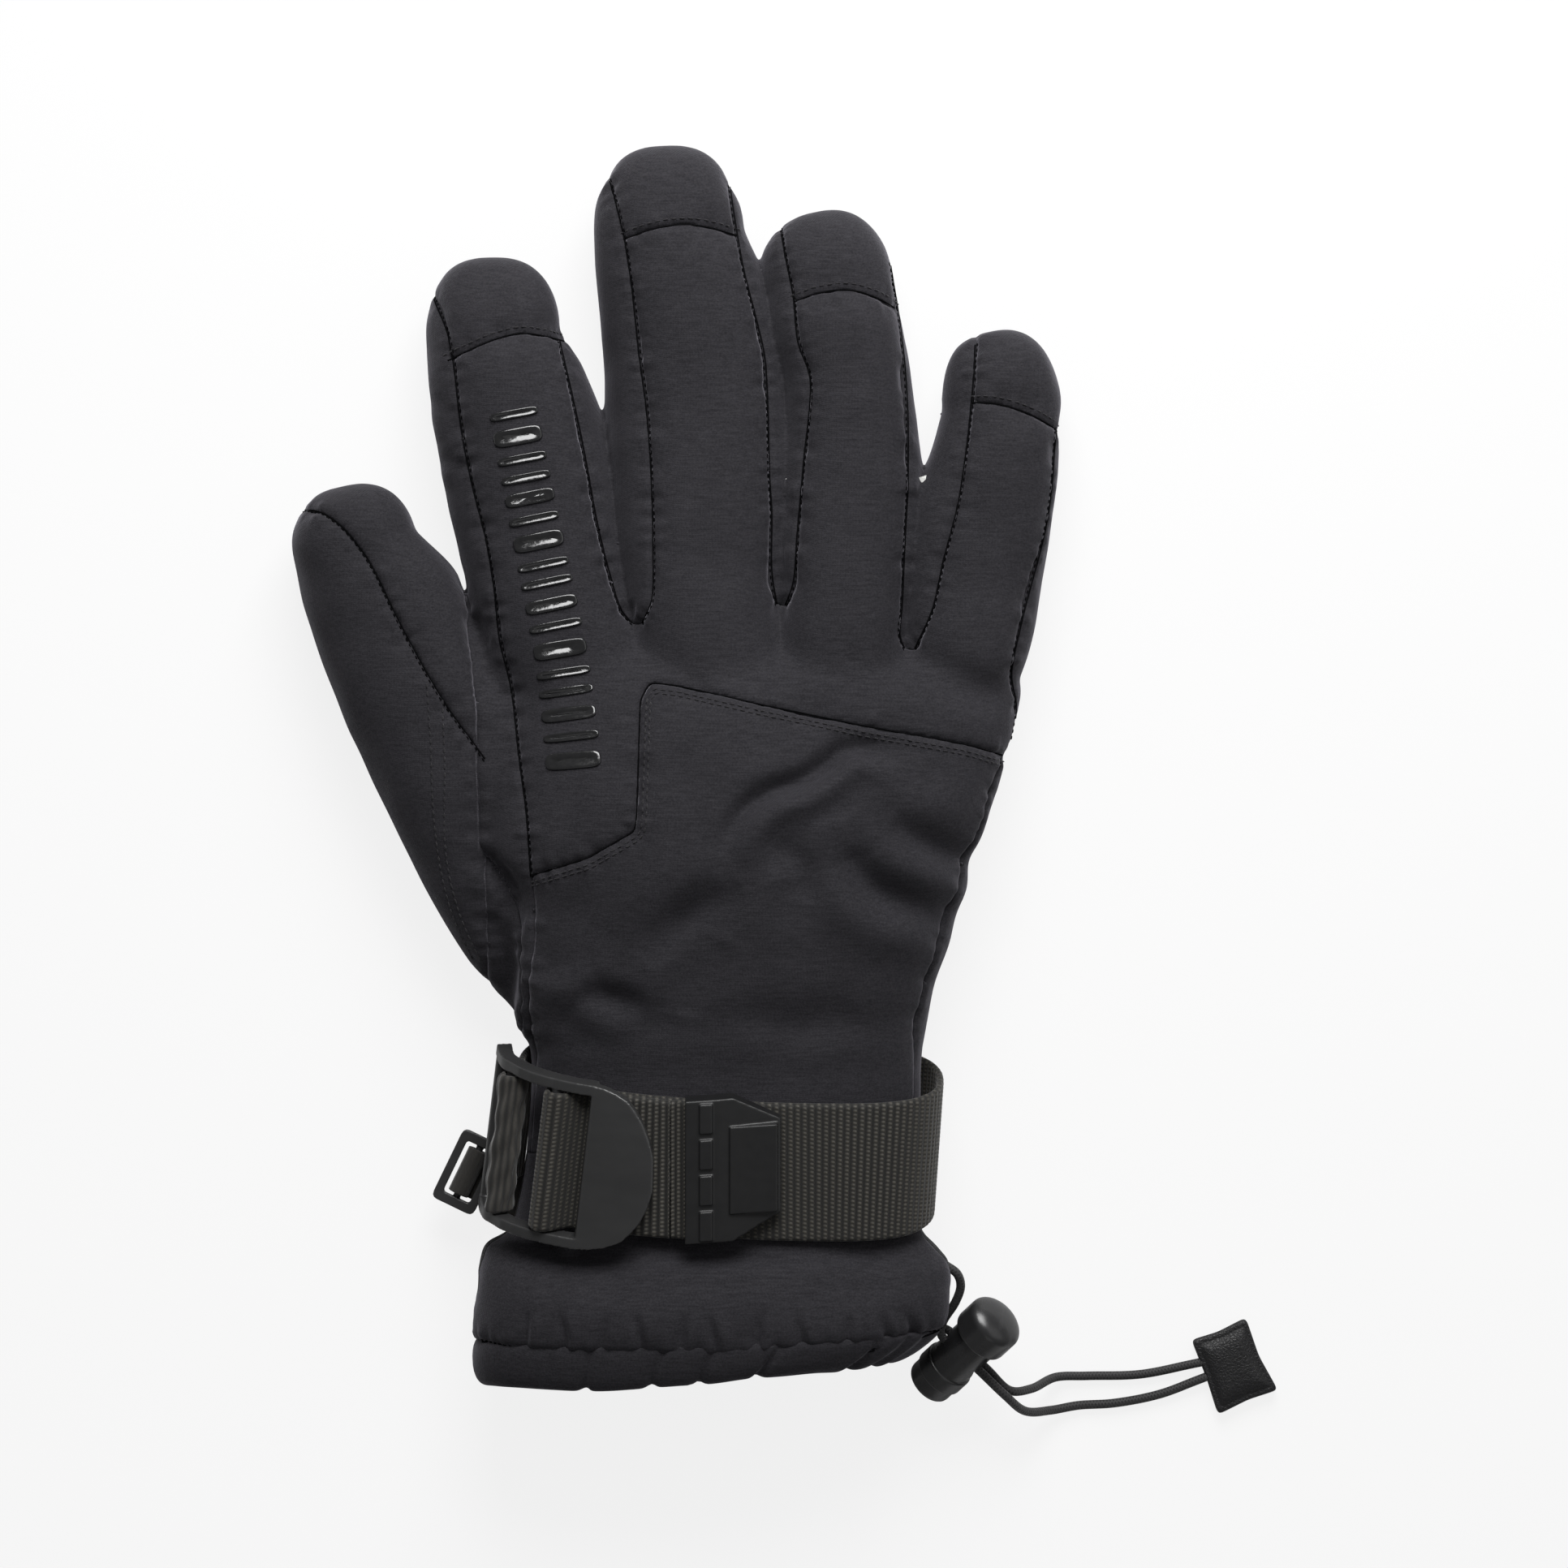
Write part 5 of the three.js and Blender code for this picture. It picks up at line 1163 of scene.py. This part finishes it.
def make_hem_cord():
    channel, wall = 3.2, 0.7
    angle = np.radians(np.linspace(26, 326, 160))
    path = hem_ring(0.56, wall + channel / 2, angle)
    made = tube_piece("hem_cord", path, CORD_DIAMETER / 2, 12)
    settle(made, "glove", SHEATH, ["hem_drawcord"])


make_hem_cord()


# Palm patch and pull tab: pressed pads over an outline


def rounded_outline(points, step, times):
    """Closed outline in even steps, with its corners rounded some times over."""
    line = resampled(np.vstack([points, points[:1]]), step)[:-1]
    for _ in range(times):
        line = (np.roll(line, 1, 0) + 2 * line + np.roll(line, -1, 0)) / 4
    return line


def pad(name, outline, profile):
    """Closed pad: rings of the outline drawn in towards its centre, at given heights."""
    centre = outline.mean(0)
    reach = np.linalg.norm(outline - centre, axis=1).mean()
    rings = [
        np.column_stack([centre + (outline - centre) * max(1 - drawn / reach, 0.001),
                         np.full(len(outline), height)])
        for drawn, height in profile
    ]
    return skin_piece(name, rings)


PATCH = [[700, 870], [740, 840], [1110, 850], [1140, 900], [1090, 1130], [1050, 1290],
         [1010, 1330], [770, 1330], [730, 1290], [690, 1120]]
patch = pad("palm_grip_patch", rounded_outline(flat(PATCH), 1.2, 8),
            [(2.0, 0.25), (0.6, 0.0), (0.0, 0.3), (0.0, 0.7), (0.5, 1.0), (2.0, 1.0), (40.0, 1.0)])
settle(patch, "glove", HIDE, ["palm_patch"])

PULL_TAB = [[1476, 1662], [1509, 1652], [1544, 1634], [1560, 1681], [1584, 1724], [1547, 1736],
            [1509, 1755], [1495, 1710]]
tab_outline = rounded_outline(flat(PULL_TAB), 0.4, 9)
tab_back = pad("pull_tab_lower", tab_outline,
               [(9.0, 0.35), (3.0, 0.1), (1.2, 0.0), (0.3, 0.35), (0.0, 0.9), (0.25, 1.4),
                (0.9, 1.6), (9.0, 1.6)])
tab_front = pad("pull_tab_upper", tab_outline,
                [(9.0, 1.9), (0.9, 1.9), (0.25, 2.0), (0.0, 2.35), (0.25, 2.75), (0.7, 2.9),
                 (1.15, 2.78), (1.5, 2.85), (2.2, 3.25), (3.4, 3.6), (5.0, 3.75), (9.0, 3.7)])
settle(tab_back, "glove", TAB_HIDE, ["pull_tab_back"])
settle(tab_front, "glove", TAB_HIDE, ["pull_tab_front"])


# Cord lock


def turned(name, profile, sides=64):
    """Lathe of a closed profile of radius and height, in the lock's frame."""
    line = np.array([*profile, profile[0]], float)
    angle = turns(sides)
    rings = [in_lock(np.column_stack([line[:, 0] * math.cos(a), line[:, 0] * math.sin(a),
                                      line[:, 1]]))[:-1] for a in angle]
    rings.append(rings[0])
    return merged(skin_piece(name, rings, caps=False), 0.02, outward=True)


def corner(radius, height, size, from_degrees, to_degrees, count=5, tall=None):
    """Points of a rounded corner of a lathe profile."""
    return [(radius + size * math.cos(a), height + (tall or size) * math.sin(a))
            for a in np.radians(np.linspace(from_degrees, to_degrees, count))]


def cut_slot(made, half_width, low, high):
    """Cuts the cord's slot through a lathed piece."""
    angle = turns(32)
    height = (high - low) / 2
    c, s = np.cos(angle), np.sin(angle)
    outline = np.column_stack([half_width * squared(c, 0.5),
                               (low + high) / 2 + height * squared(s, 0.5)])
    rings = [in_lock(np.column_stack([np.full(32, x), outline])) for x in (-9.0, 9.0)]
    cutter = skin_piece("cutter", rings)
    cut = made.modifiers.new("slot", "BOOLEAN")
    cut.operation, cut.object, cut.solver = "DIFFERENCE", cutter, "EXACT"
    baked(made)
    drop(cutter)
    return made


def make_lock():
    barrel = turned("lock_barrel", [
        (0.02, 0.0), (4.1, 0.0), *corner(4.2, 1.2, 1.2, -90, 0), (5.4, 4.0),
        *corner(5.5, 4.6, 0.4, -90, 0)[1:], (5.9, 7.8), *corner(5.5, 7.9, 0.4, 0, 90)[1:],
        (5.4, 8.5), (5.4, 19.5), *corner(5.0, 19.6, 0.4, 0, 90), (4.4, 20.0), (4.2, 19.8),
        (4.2, 1.6), (0.02, 1.6),
    ])
    cut_slot(barrel, 2.6, 9.8, 14.5)
    plunger = turned("lock_button", [
        (0.02, 10.3), (3.7, 10.3), (3.9, 10.5), (3.9, 22.9), (5.8, 22.9), (5.8, 19.5),
        (6.1, 19.3), (6.5, 19.5), (6.6, 19.9), (6.6, 24.3),
        *corner(0.0, 24.5, 6.6, 4, 88, 16, 3.2),
        (0.02, 27.7),
    ])
    cut_slot(plunger, 2.8, 11.7, 17.9)
    for made in (barrel, plunger):
        for polygon in made.data.polygons:
            polygon.use_smooth = True
        crisp = made.modifiers.new("edges", "BEVEL")
        crisp.width, crisp.segments, crisp.angle_limit = 0.12 * MM, 2, math.radians(50)
        flatten = made.modifiers.new("normals", "WEIGHTED_NORMAL")
        flatten.keep_sharp = True
    settle(barrel, "cord_lock", NYLON, ["cord_lock_barrel"])
    settle(plunger, "lock_plunger", NYLON, ["cord_lock_plunger"])
    share = np.linspace(0, 1, 200)
    turn = 2 * np.pi * 4 * share
    coil = np.column_stack([2.9 * np.cos(turn), 2.9 * np.sin(turn), 2.2 + 7.5 * share])
    spring = tube_piece("lock_spring", in_lock(coil), 0.3, 8)
    settle(spring, "cord_lock", STEEL, ["cord_lock_spring"])
    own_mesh(spring)
    return barrel, plunger, spring


LOCK_PIECES = make_lock()


# Wrist strap: paths in X and Z round the wrist

STRAP_WIDTH, STRAP_WALL = 30.0, 1.4
WRIST_HALF = np.array([44.64, 17.6])
WRIST_CENTRE = np.array([9.6966, 16.4])
STRAP_CENTRE_Y = -89.63
STRAP_LEAN, STRAP_LEVEL = 0.35, 39.4
STRAP_SLANT, FREE_END_SLANT = -0.055, 0.066
HINGE_X = -1.28
BUCKLE_TURN = (0.12, -82.07, HINGE_X, -20.0)
END_TURN = (0.07, -85.49, 29.68, 54.88)
STAND_OFF = 1.8
GUARD, ANCHOR_BAR, TOOTHED_BAR = 177, 159, 133
LOW_RISE = 0.45 + STRAP_WALL / 2
HIGH_RISE = LOW_RISE + STRAP_WALL + 0.3
LAYER_TOP = 34.0
BAR_RADIUS, BAR_GAP = 1.5, 0.3
BAR_STAND_OFF, GUARD_RISE = 5.4, 2.2
WRAP_RADIUS = BAR_RADIUS + BAR_GAP + STRAP_WALL / 2


def way_at(angle):
    return np.array([math.cos(angle), math.sin(angle)])


def wrist_point(degrees, rise):
    """Point at an angle round the wrist, some way above its surface."""
    return WRIST_CENTRE + (WRIST_HALF + rise) * squared(way_at(math.radians(degrees)))


def arc(start, end, rise, count=40):
    shares = np.linspace(0, 1, count)
    return [wrist_point(start + (end - start) * t, rise(t)) for t in shares]


def laid(points, slant=STRAP_SLANT):
    """Strap points on the wrist: leaning with height, slanted across, turned at both sides."""
    points = np.array(points, float)
    x = points[..., 0].copy()
    lean = STRAP_LEAN * (STRAP_LEVEL - points[..., 2])
    points[..., 1] += STRAP_CENTRE_Y + lean + slant * (x - HINGE_X)
    for turn, centre, none, full in (BUCKLE_TURN, END_TURN):
        share = np.clip((x - none) / (full - none), 0, 1)
        points[..., 0] += turn * share * (points[..., 1] - centre)
    return points


def rib_height(along, across):
    """Height of the webbing's ribs and threads over its mean surface."""
    rib = 0.5 + 0.5 * np.cos(2 * np.pi * along / RIB_PITCH)
    offset = np.floor(along / RIB_PITCH + 0.5) * KNOT_PITCH / 2
    knot = 0.5 + 0.5 * np.cos(2 * np.pi * (across + offset) / KNOT_PITCH)
    return 0.26 * rib**0.8 * (0.72 + 0.28 * knot) - 0.13


def make_webbing(name, path, ribs=rib_height, wavy=None, slant=STRAP_SLANT):
    """Webbing along a path in X and Z, with its ribs in the mesh."""
    width, wall, cross = STRAP_WIDTH, STRAP_WALL, 0.3
    path = resampled(path, 0.26)
    along = lengths(path)
    run = unit(np.gradient(path, axis=0))
    out = np.column_stack([-run[:, 1], run[:, 0]])
    y = np.linspace(-width / 2, width / 2, int(width / cross) + 1)
    edge = np.minimum(1, np.sqrt(np.clip((width / 2 - np.abs(y)) / 0.7, 0, 1)))
    sides = []
    for sign in (1, -1):
        s, c = np.meshgrid(along, y, indexing="ij")
        height = sign * (wall / 2 * (0.35 + 0.65 * edge) + ribs(s, c) * edge)
        if wavy is not None:
            height = height + wavy(s, c)
        sides.append(np.stack([
            path[:, None, 0] + out[:, None, 0] * height,
            np.broadcast_to(y, height.shape),
            path[:, None, 1] + out[:, None, 1] * height,
        ], -1))
    rings = np.concatenate([sides[0], sides[1][:, ::-1]], axis=1)
    around = np.r_[y, y[::-1], y[0]]
    return skin_piece(name, laid(rings, slant), along, around)


def bar_centre(degrees):
    past = max(0, degrees - ANCHOR_BAR) / (GUARD - ANCHOR_BAR)
    return wrist_point(degrees, BAR_STAND_OFF + GUARD_RISE * past)


def outward(degrees):
    return unit(wrist_point(degrees, 4.0) - wrist_point(degrees, 0.0))


def wrapped(bar, turn, count=40):
    """Webbing led round a bar, from the wrist's side through a turn in degrees."""
    way = -outward(bar)
    start = math.degrees(math.atan2(way[1], way[0]))
    angle = np.radians(np.linspace(start, start + turn, count))
    return [bar_centre(bar) + WRAP_RADIUS * way_at(a) for a in angle]


def softened(path, times=6):
    return relaxed(resampled(path, 0.5), times)


def make_strap():
    """The four runs of the strap's webbing, from the wrist through the buckle to its end."""
    standing = [wrist_point(d, LOW_RISE + STAND_OFF * (d + 52) / 18)
                for d in np.arange(-52, -34, 1.5)]
    for d in np.arange(-34, TOOTHED_BAR - 8, 2.0):
        standing.append(wrist_point(d, LOW_RISE + STAND_OFF * ease(0, 1, (75 - d) / 45)))
    made = make_webbing("strap_over_wrist", softened(standing))
    settle(made, "glove", WEBBING, ["strap_standing"])

    loop = wrapped(TOOTHED_BAR, -250)
    tail = arc(TOOTHED_BAR - 7, 104, lambda t: HIGH_RISE) + [
        np.array([HINGE_X - 0.15, LAYER_TOP + HIGH_RISE])]
    made = make_webbing("strap_through_buckle", softened([*loop, *tail], 5))
    settle(made, "buckle", WEBBING, ["strap_loop"])

    leg_end = BAR_STAND_OFF - WRAP_RADIUS
    leg = arc(198, ANCHOR_BAR + 4, lambda t: LOW_RISE + (leg_end - LOW_RISE) * t * t)
    loop = wrapped(ANCHOR_BAR, 300)

    def gathered(s, c):
        rest = ease(8, 14, s)
        return rest * (0.34 * np.sin(s * 1.25 + 0.9 * np.sin(c * 0.33)) + 0.2 * np.sin(c * 0.9 + s))

    made = make_webbing("anchor_strap", softened([*leg, *loop], 4),
                        ribs=lambda s, c: 0.12 * np.cos(2 * np.pi * s / SOFT_RIB_PITCH),
                        wavy=gathered)
    settle(made, "glove", SOFT_WEBBING, ["anchor_webbing"])

    left, low = HINGE_X + 0.15, LAYER_TOP + HIGH_RISE
    tab_left = flat([846, 0])[0]
    tab_middle = LAYER_TOP + 0.45 + STRAP_WALL + 0.3 + 1.7
    path = [(left, low), (left + 1.4, low), (tab_left, tab_middle), (tab_left + 5.7, tab_middle)]
    made = make_webbing("strap_free_end_webbing", softened(path, 3), slant=FREE_END_SLANT)
    settle(made, "strap_tail", WEBBING, ["strap_free_end"])


make_strap()


def moulded_copy(name, node, voxel, smooth, body, material, fit):
    """A moulded piece over its solid: one skin with rounded edges and fillets."""
    made = new_piece(name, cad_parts[node].data.copy())
    made.data.materials.clear()
    points, faces = remeshed(merged(made, 0.001), voxel)
    points = fit(averaged(points, unique_edges(faces), 0.5, smooth))
    made = new_piece(name, mesh_from(name, points, [faces]))
    return settle(made, body, material, [node])


SOLID_CENTRE_Y, SOLID_LEAN = -90.71, 0.42
RAIL_START, RAIL_SHARE = 15.6, 0.7
GUARD_TURN, GUARD_WAY = math.radians(11), math.radians(38)


def unlaid(points):
    """Points of a strap solid in the strap's own frame, across its middle line."""
    points = points.copy()
    points[:, 1] -= SOLID_CENTRE_Y + SOLID_LEAN * (STRAP_LEVEL - points[:, 2])
    return points


def fit_buckle(points):
    """Slim rails, the guard bar drawn in round the anchor bar, then laid on the wrist."""
    points = unlaid(points)
    across = np.abs(points[:, 1])
    slim = RAIL_START - 0.1 + (across - RAIL_START) * RAIL_SHARE
    points[:, 1] = np.sign(points[:, 1]) * np.where(across > RAIL_START, slim, across)
    pivot = bar_centre(ANCHOR_BAR)
    past = points[:, [0, 2]] - pivot
    along = past @ -np.array([math.sin(GUARD_WAY), math.cos(GUARD_WAY)])
    angle = GUARD_TURN * ease(0.5, 6.0, along)
    c, s = np.cos(angle), np.sin(angle)
    points[:, 0] = pivot[0] + past[:, 0] * c - past[:, 1] * s
    points[:, 2] = pivot[1] + past[:, 0] * s + past[:, 1] * c
    return laid(points)


def fit_end_tab(points):
    return laid(unlaid(points), FREE_END_SLANT)


SLIDER_PIVOT = np.array([-46.46, -89.99])
SLIDER_RUN = np.array([0.9003, -0.4352])
SLIDER_AXIS = np.array([0.4352, 0.9003])
SLIDER_SHARE, SLIDER_SHIFT = 0.86, 1.5


def fit_slider(points):
    """A shorter slider, a little further down on its webbing."""
    spot = points[:, :2] - SLIDER_PIVOT
    along, across = spot @ SLIDER_RUN, spot @ SLIDER_AXIS
    points[:, :2] = (SLIDER_PIVOT + np.outer(along * SLIDER_SHARE, SLIDER_RUN)
                     + np.outer(across - SLIDER_SHIFT, SLIDER_AXIS))
    return points


def fit_slider_strap(points):
    points[:, :2] -= SLIDER_AXIS * SLIDER_SHIFT
    return points


moulded_copy("ladder_lock_buckle", "buckle_frame", 0.26, 5, "buckle", ACETAL,
             fit_buckle)
moulded_copy("strap_tip_moulding", "strap_end_tab", 0.2, 3, "strap_tail",
             TIP_PLASTIC, fit_end_tab)
moulded_copy("side_slider_frame", "side_slider", 0.18, 4, "side_slider",
             ACETAL, fit_slider)
moulded_copy("side_slider_strap", "side_slider_webbing", 0.2, 3, "glove",
             SOFT_WEBBING, fit_slider_strap)


# Dark seam tubes, part thread and part painted groove shade, and topstitching, draped on the shell


def shell_under(x, y):
    """The glove's top surface under a spot, and its normal."""
    return SHELL_TREE.ray_cast(Vector((x, y, 80)), Vector((0, 0, -1)))[:2]


def draped(line, lift):
    """A traced line laid on the glove, with its height over the surface."""
    spots = []
    for x, y in resampled(line, 0.5):
        spot, normal = shell_under(x, y)
        if spot is not None and spot.z > 3:
            spots.append(np.array(spot) + np.array(normal) * lift)
    return relaxed(np.array(spots), 3)


def beside(line, offset):
    """A line shifted sideways, to the left of its run when the offset is above zero."""
    run = unit(np.gradient(line, axis=0))
    return line + np.column_stack([-run[:, 1], run[:, 0]]) * offset


def smooth_line(points, count=60):
    return catmull(flat(points), count)


def stitch_tree():
    """Stitches along curves: even steps, one thread bead at each, along the run."""
    tree = bpy.data.node_groups.new("stitch_rows", "GeometryNodeTree")
    sides = tree.interface
    sides.new_socket("Geometry", in_out="INPUT", socket_type="NodeSocketGeometry")
    for name in ("Pitch", "Stitch Length", "Thread Radius"):
        sides.new_socket(name, in_out="INPUT", socket_type="NodeSocketFloat")
    sides.new_socket("Thread", in_out="INPUT", socket_type="NodeSocketMaterial")
    sides.new_socket("Geometry", in_out="OUTPUT", socket_type="NodeSocketGeometry")

    def node(kind, settings=None, sockets=None):
        return add_node(tree, kind, settings, sockets)

    given = node("NodeGroupInput").outputs
    rows = node("GeometryNodeResampleCurve", {"mode": "LENGTH"},
                {"Curve": given["Geometry"], "Length": given["Pitch"]})
    bead = node("GeometryNodeMeshUVSphere", None, {"Segments": 8, "Rings": 5, "Radius": 0.5})
    width = node("ShaderNodeMath", {"operation": "MULTIPLY"},
                 {0: given["Thread Radius"], 1: 2.0}).outputs[0]
    size = node("ShaderNodeCombineXYZ", None,
                {"X": given["Stitch Length"], "Y": width, "Z": width})
    turn = node("FunctionNodeAlignRotationToVector", {"axis": "X"},
                {"Vector": node("GeometryNodeInputTangent").outputs[0]})
    placed = node("GeometryNodeInstanceOnPoints", None, {
        "Points": rows.outputs[0], "Instance": bead.outputs[0],
        "Rotation": turn.outputs[0], "Scale": size.outputs[0]})
    real = node("GeometryNodeRealizeInstances", None, {0: placed.outputs[0]})
    dyed = node("GeometryNodeSetMaterial", None,
                {"Geometry": real.outputs[0], "Material": given["Thread"]})
    node("NodeGroupOutput", None, {0: dyed.outputs[0]})
    return tree


STITCH_TREE = stitch_tree()


def stitched(name, paths, pitch, length, radius, material):
    """Rows of stitches on the glove, made along their paths."""
    curve = bpy.data.curves.new(name, "CURVE")
    curve.dimensions = "3D"
    for path in paths:
        if len(path) < 2:
            continue
        spline = curve.splines.new("POLY")
        spline.points.add(len(path) - 1)
        spline.points.foreach_set("co", np.column_stack([path * MM, np.ones(len(path))]).ravel())
    rows = new_piece(name + "_rows", curve)
    maker = rows.modifiers.new("stitches", "NODES")
    maker.node_group = STITCH_TREE
    sockets = {item.name: item.identifier for item in STITCH_TREE.interface.items_tree
               if item.in_out == "INPUT"}
    for key, size in (("Pitch", pitch), ("Stitch Length", length), ("Thread Radius", radius)):
        maker[sockets[key]] = size * MM
    maker[sockets["Thread"]] = material
    graph = bpy.context.evaluated_depsgraph_get()
    graph.update()
    mesh = bpy.data.meshes.new_from_object(rows.evaluated_get(graph))
    drop(rows)
    for polygon in mesh.polygons:
        polygon.use_smooth = True
    settle(new_piece(name, mesh), "glove")


THREAD_LIFT, THREAD_RADIUS = 0.12, 0.17
THUMB_ROWS = (
    [[529, 846], [534, 920], [537, 1000], [545, 1070], [562, 1137], [581, 1180]],
    [[548, 866], [551, 940], [552, 1052], [566, 1120], [590, 1180]],
)


def sew_glove():
    """Dark seam tubes, part thread and part painted shade in the grooves, edge stitches beside them
    and the topstitching.
    """
    fingers = [INDEX_LEFT, INDEX_RIGHT, MIDDLE_LEFT, MIDDLE_RIGHT, RING_LEFT, RING_RIGHT,
               LITTLE_LEFT, LITTLE_RIGHT]
    inner_side = [1, -1] * 4
    lines = [smooth_line(line) for line in fingers]
    panel = resampled(flat(PANEL_SEAM), 1.0)
    caps = [smooth_line(line) for line in CAP_LINES.values()]
    thumb = smooth_line(THUMB_SEAM[1:])
    hem = smooth_line(HEM_SEAM[1:])
    seams = [draped(line, 0.0) for line in [*lines, panel, *caps, thumb, hem]]
    # A continuous near-black tube sunk in every seam groove: part seam thread, part painted shade
    # of the groove.
    creases = [tube_rings(path, 0.2, 6) for path in seams if len(path) > 3]
    settle(joined_skins("seam_tubes_thread_and_shade", creases), "glove", DARK_THREAD_AND_SEAM_SHADE)
    rows = [beside(line, 0.42 * side) for line, side in zip(lines, inner_side)]
    rows += [beside(thumb, -0.42), beside(hem, 0.5)]
    rows = [draped(row, THREAD_LIFT) for row in rows]
    stitched("edge_stitches", rows, 1.5, 1.0, THREAD_RADIUS, DARK_THREAD_AND_SEAM_SHADE)
    rows = [beside(line, 1.45) for line in caps] + [beside(panel, 1.35), beside(panel, 2.2)]
    rows += [smooth_line(row) for row in THUMB_ROWS]
    rows = [draped(row, THREAD_LIFT) for row in rows]
    stitched("top_stitches", rows, 1.75, 1.25, THREAD_RADIUS, TOP_THREAD)


sew_glove()


# Raised print along the index finger: plain bars, shorter towards the tip


BAR_LINE = [[634, 505], [652, 600], [672, 700], [692, 800], [706, 900], [712, 965]]
BAR_WIDTHS = (0.95, 1.9, 0.95, 0.95, 1.5)
BAR_PROFILE = ((1.0, -0.5), (1.0, 0.2), (0.97, 0.42), (0.88, 0.56), (0.7, 0.5), (0.02, 0.46))


def bar_rings(centre, way, half, thick):
    """Rings of one bar, drawn in step by step as they rise from the cloth."""
    across = np.array([way[1], -way[0]])
    angle = turns(40)
    reach, width = half * squared(np.cos(angle), 0.35), thick * squared(np.sin(angle), 0.6)
    rings = []
    for shrink, lift in BAR_PROFILE:
        drawn = np.sign(reach) * np.maximum(np.abs(reach) - (1 - shrink) * thick * 1.4, 0.02)
        ring = []
        for x, y in centre + np.outer(width * shrink, way) + np.outer(drawn, across):
            spot, normal = shell_under(x, y)
            ring.append(np.array(spot) + np.array(normal) * lift)
        rings.append(ring)
    return rings


def print_bars():
    line = resampled(smooth_line(BAR_LINE), 0.25)
    run = lengths(line)
    ways = unit(np.gradient(line, axis=0))
    bars, spot = [], 1.5
    while spot < run[-1] - 1:
        k = np.searchsorted(run, spot)
        share = spot / run[-1]
        thick = BAR_WIDTHS[len(bars) % 5]
        bars.append(bar_rings(line[k], ways[k], 5.3 + 0.9 * share, thick))
        spot += thick + BAR_WIDTHS[len(bars) % 5] + 2.1 + 0.5 * share
    settle(joined_skins("raised_bars", bars), "glove", GEL)


print_bars()


# Studio


def make_floor():
    f = Finish("studio_floor", Roughness=0.9, Specular_IOR_Level=0.1)
    f.shader.inputs["Base Color"].default_value = (0.86, 0.86, 0.86, 1)
    seen = f.value("ShaderNodeLightPath", out="Is Camera Ray")
    glow = f.node("ShaderNodeEmission", None, {"Color": (1, 1, 1, 1), "Strength": 1.0})
    mix = f.node("ShaderNodeMixShader", None,
                 {0: seen * 0.84, 1: f.shader.outputs[0], 2: glow.outputs[0]})
    f.tree.links.new(mix.outputs[0], f.tree.nodes["Material Output"].inputs[0])
    mesh = bpy.data.meshes.new("floor")
    size = 3.0
    mesh.from_pydata([(-size, -size, 0), (size, -size, 0), (size, size, 0), (-size, size, 0)],
                     [], [(0, 1, 2, 3)])
    mesh.materials.append(f.material)
    new_piece("floor", mesh)


def make_light():
    world = bpy.data.worlds.new("studio")
    bpy.context.scene.world = world
    world.use_nodes = True
    tree = world.node_tree
    back = tree.nodes["Background"]
    back.inputs["Color"].default_value = (1, 1, 1, 1)
    back.inputs["Strength"].default_value = 0.15
    ray = add_node(tree, "ShaderNodeLightPath").outputs
    seen = add_node(tree, "ShaderNodeMath", {"operation": "ADD", "use_clamp": True},
                    {0: ray["Is Camera Ray"], 1: ray["Is Transmission Ray"]})
    white = add_node(tree, "ShaderNodeBackground")
    mix = add_node(tree, "ShaderNodeMixShader", None,
                   {0: seen.outputs[0], 1: back.outputs[0], 2: white.outputs[0]})
    tree.links.new(mix.outputs[0], tree.nodes["World Output"].inputs[0])
    for name, place, size, power in (
        ("key", (0.06, 0.46, 0.42), 0.4, 4.7),
        ("fill", (0.8, 0.1, 0.8), 0.9, 1.2),
        ("rim", (-0.1, -0.9, 0.7), 0.6, 0.3),
    ):
        lamp = bpy.data.lights.new(name, "AREA")
        lamp.size, lamp.energy = size, power
        holder = bpy.data.objects.new(name, lamp)
        holder.location = place
        holder.rotation_euler = (-Vector(place)).to_track_quat("-Z", "Y").to_euler()
        bpy.context.scene.collection.objects.link(holder)
    bpy.context.scene.view_settings.view_transform = "Standard"


make_floor()
make_light()
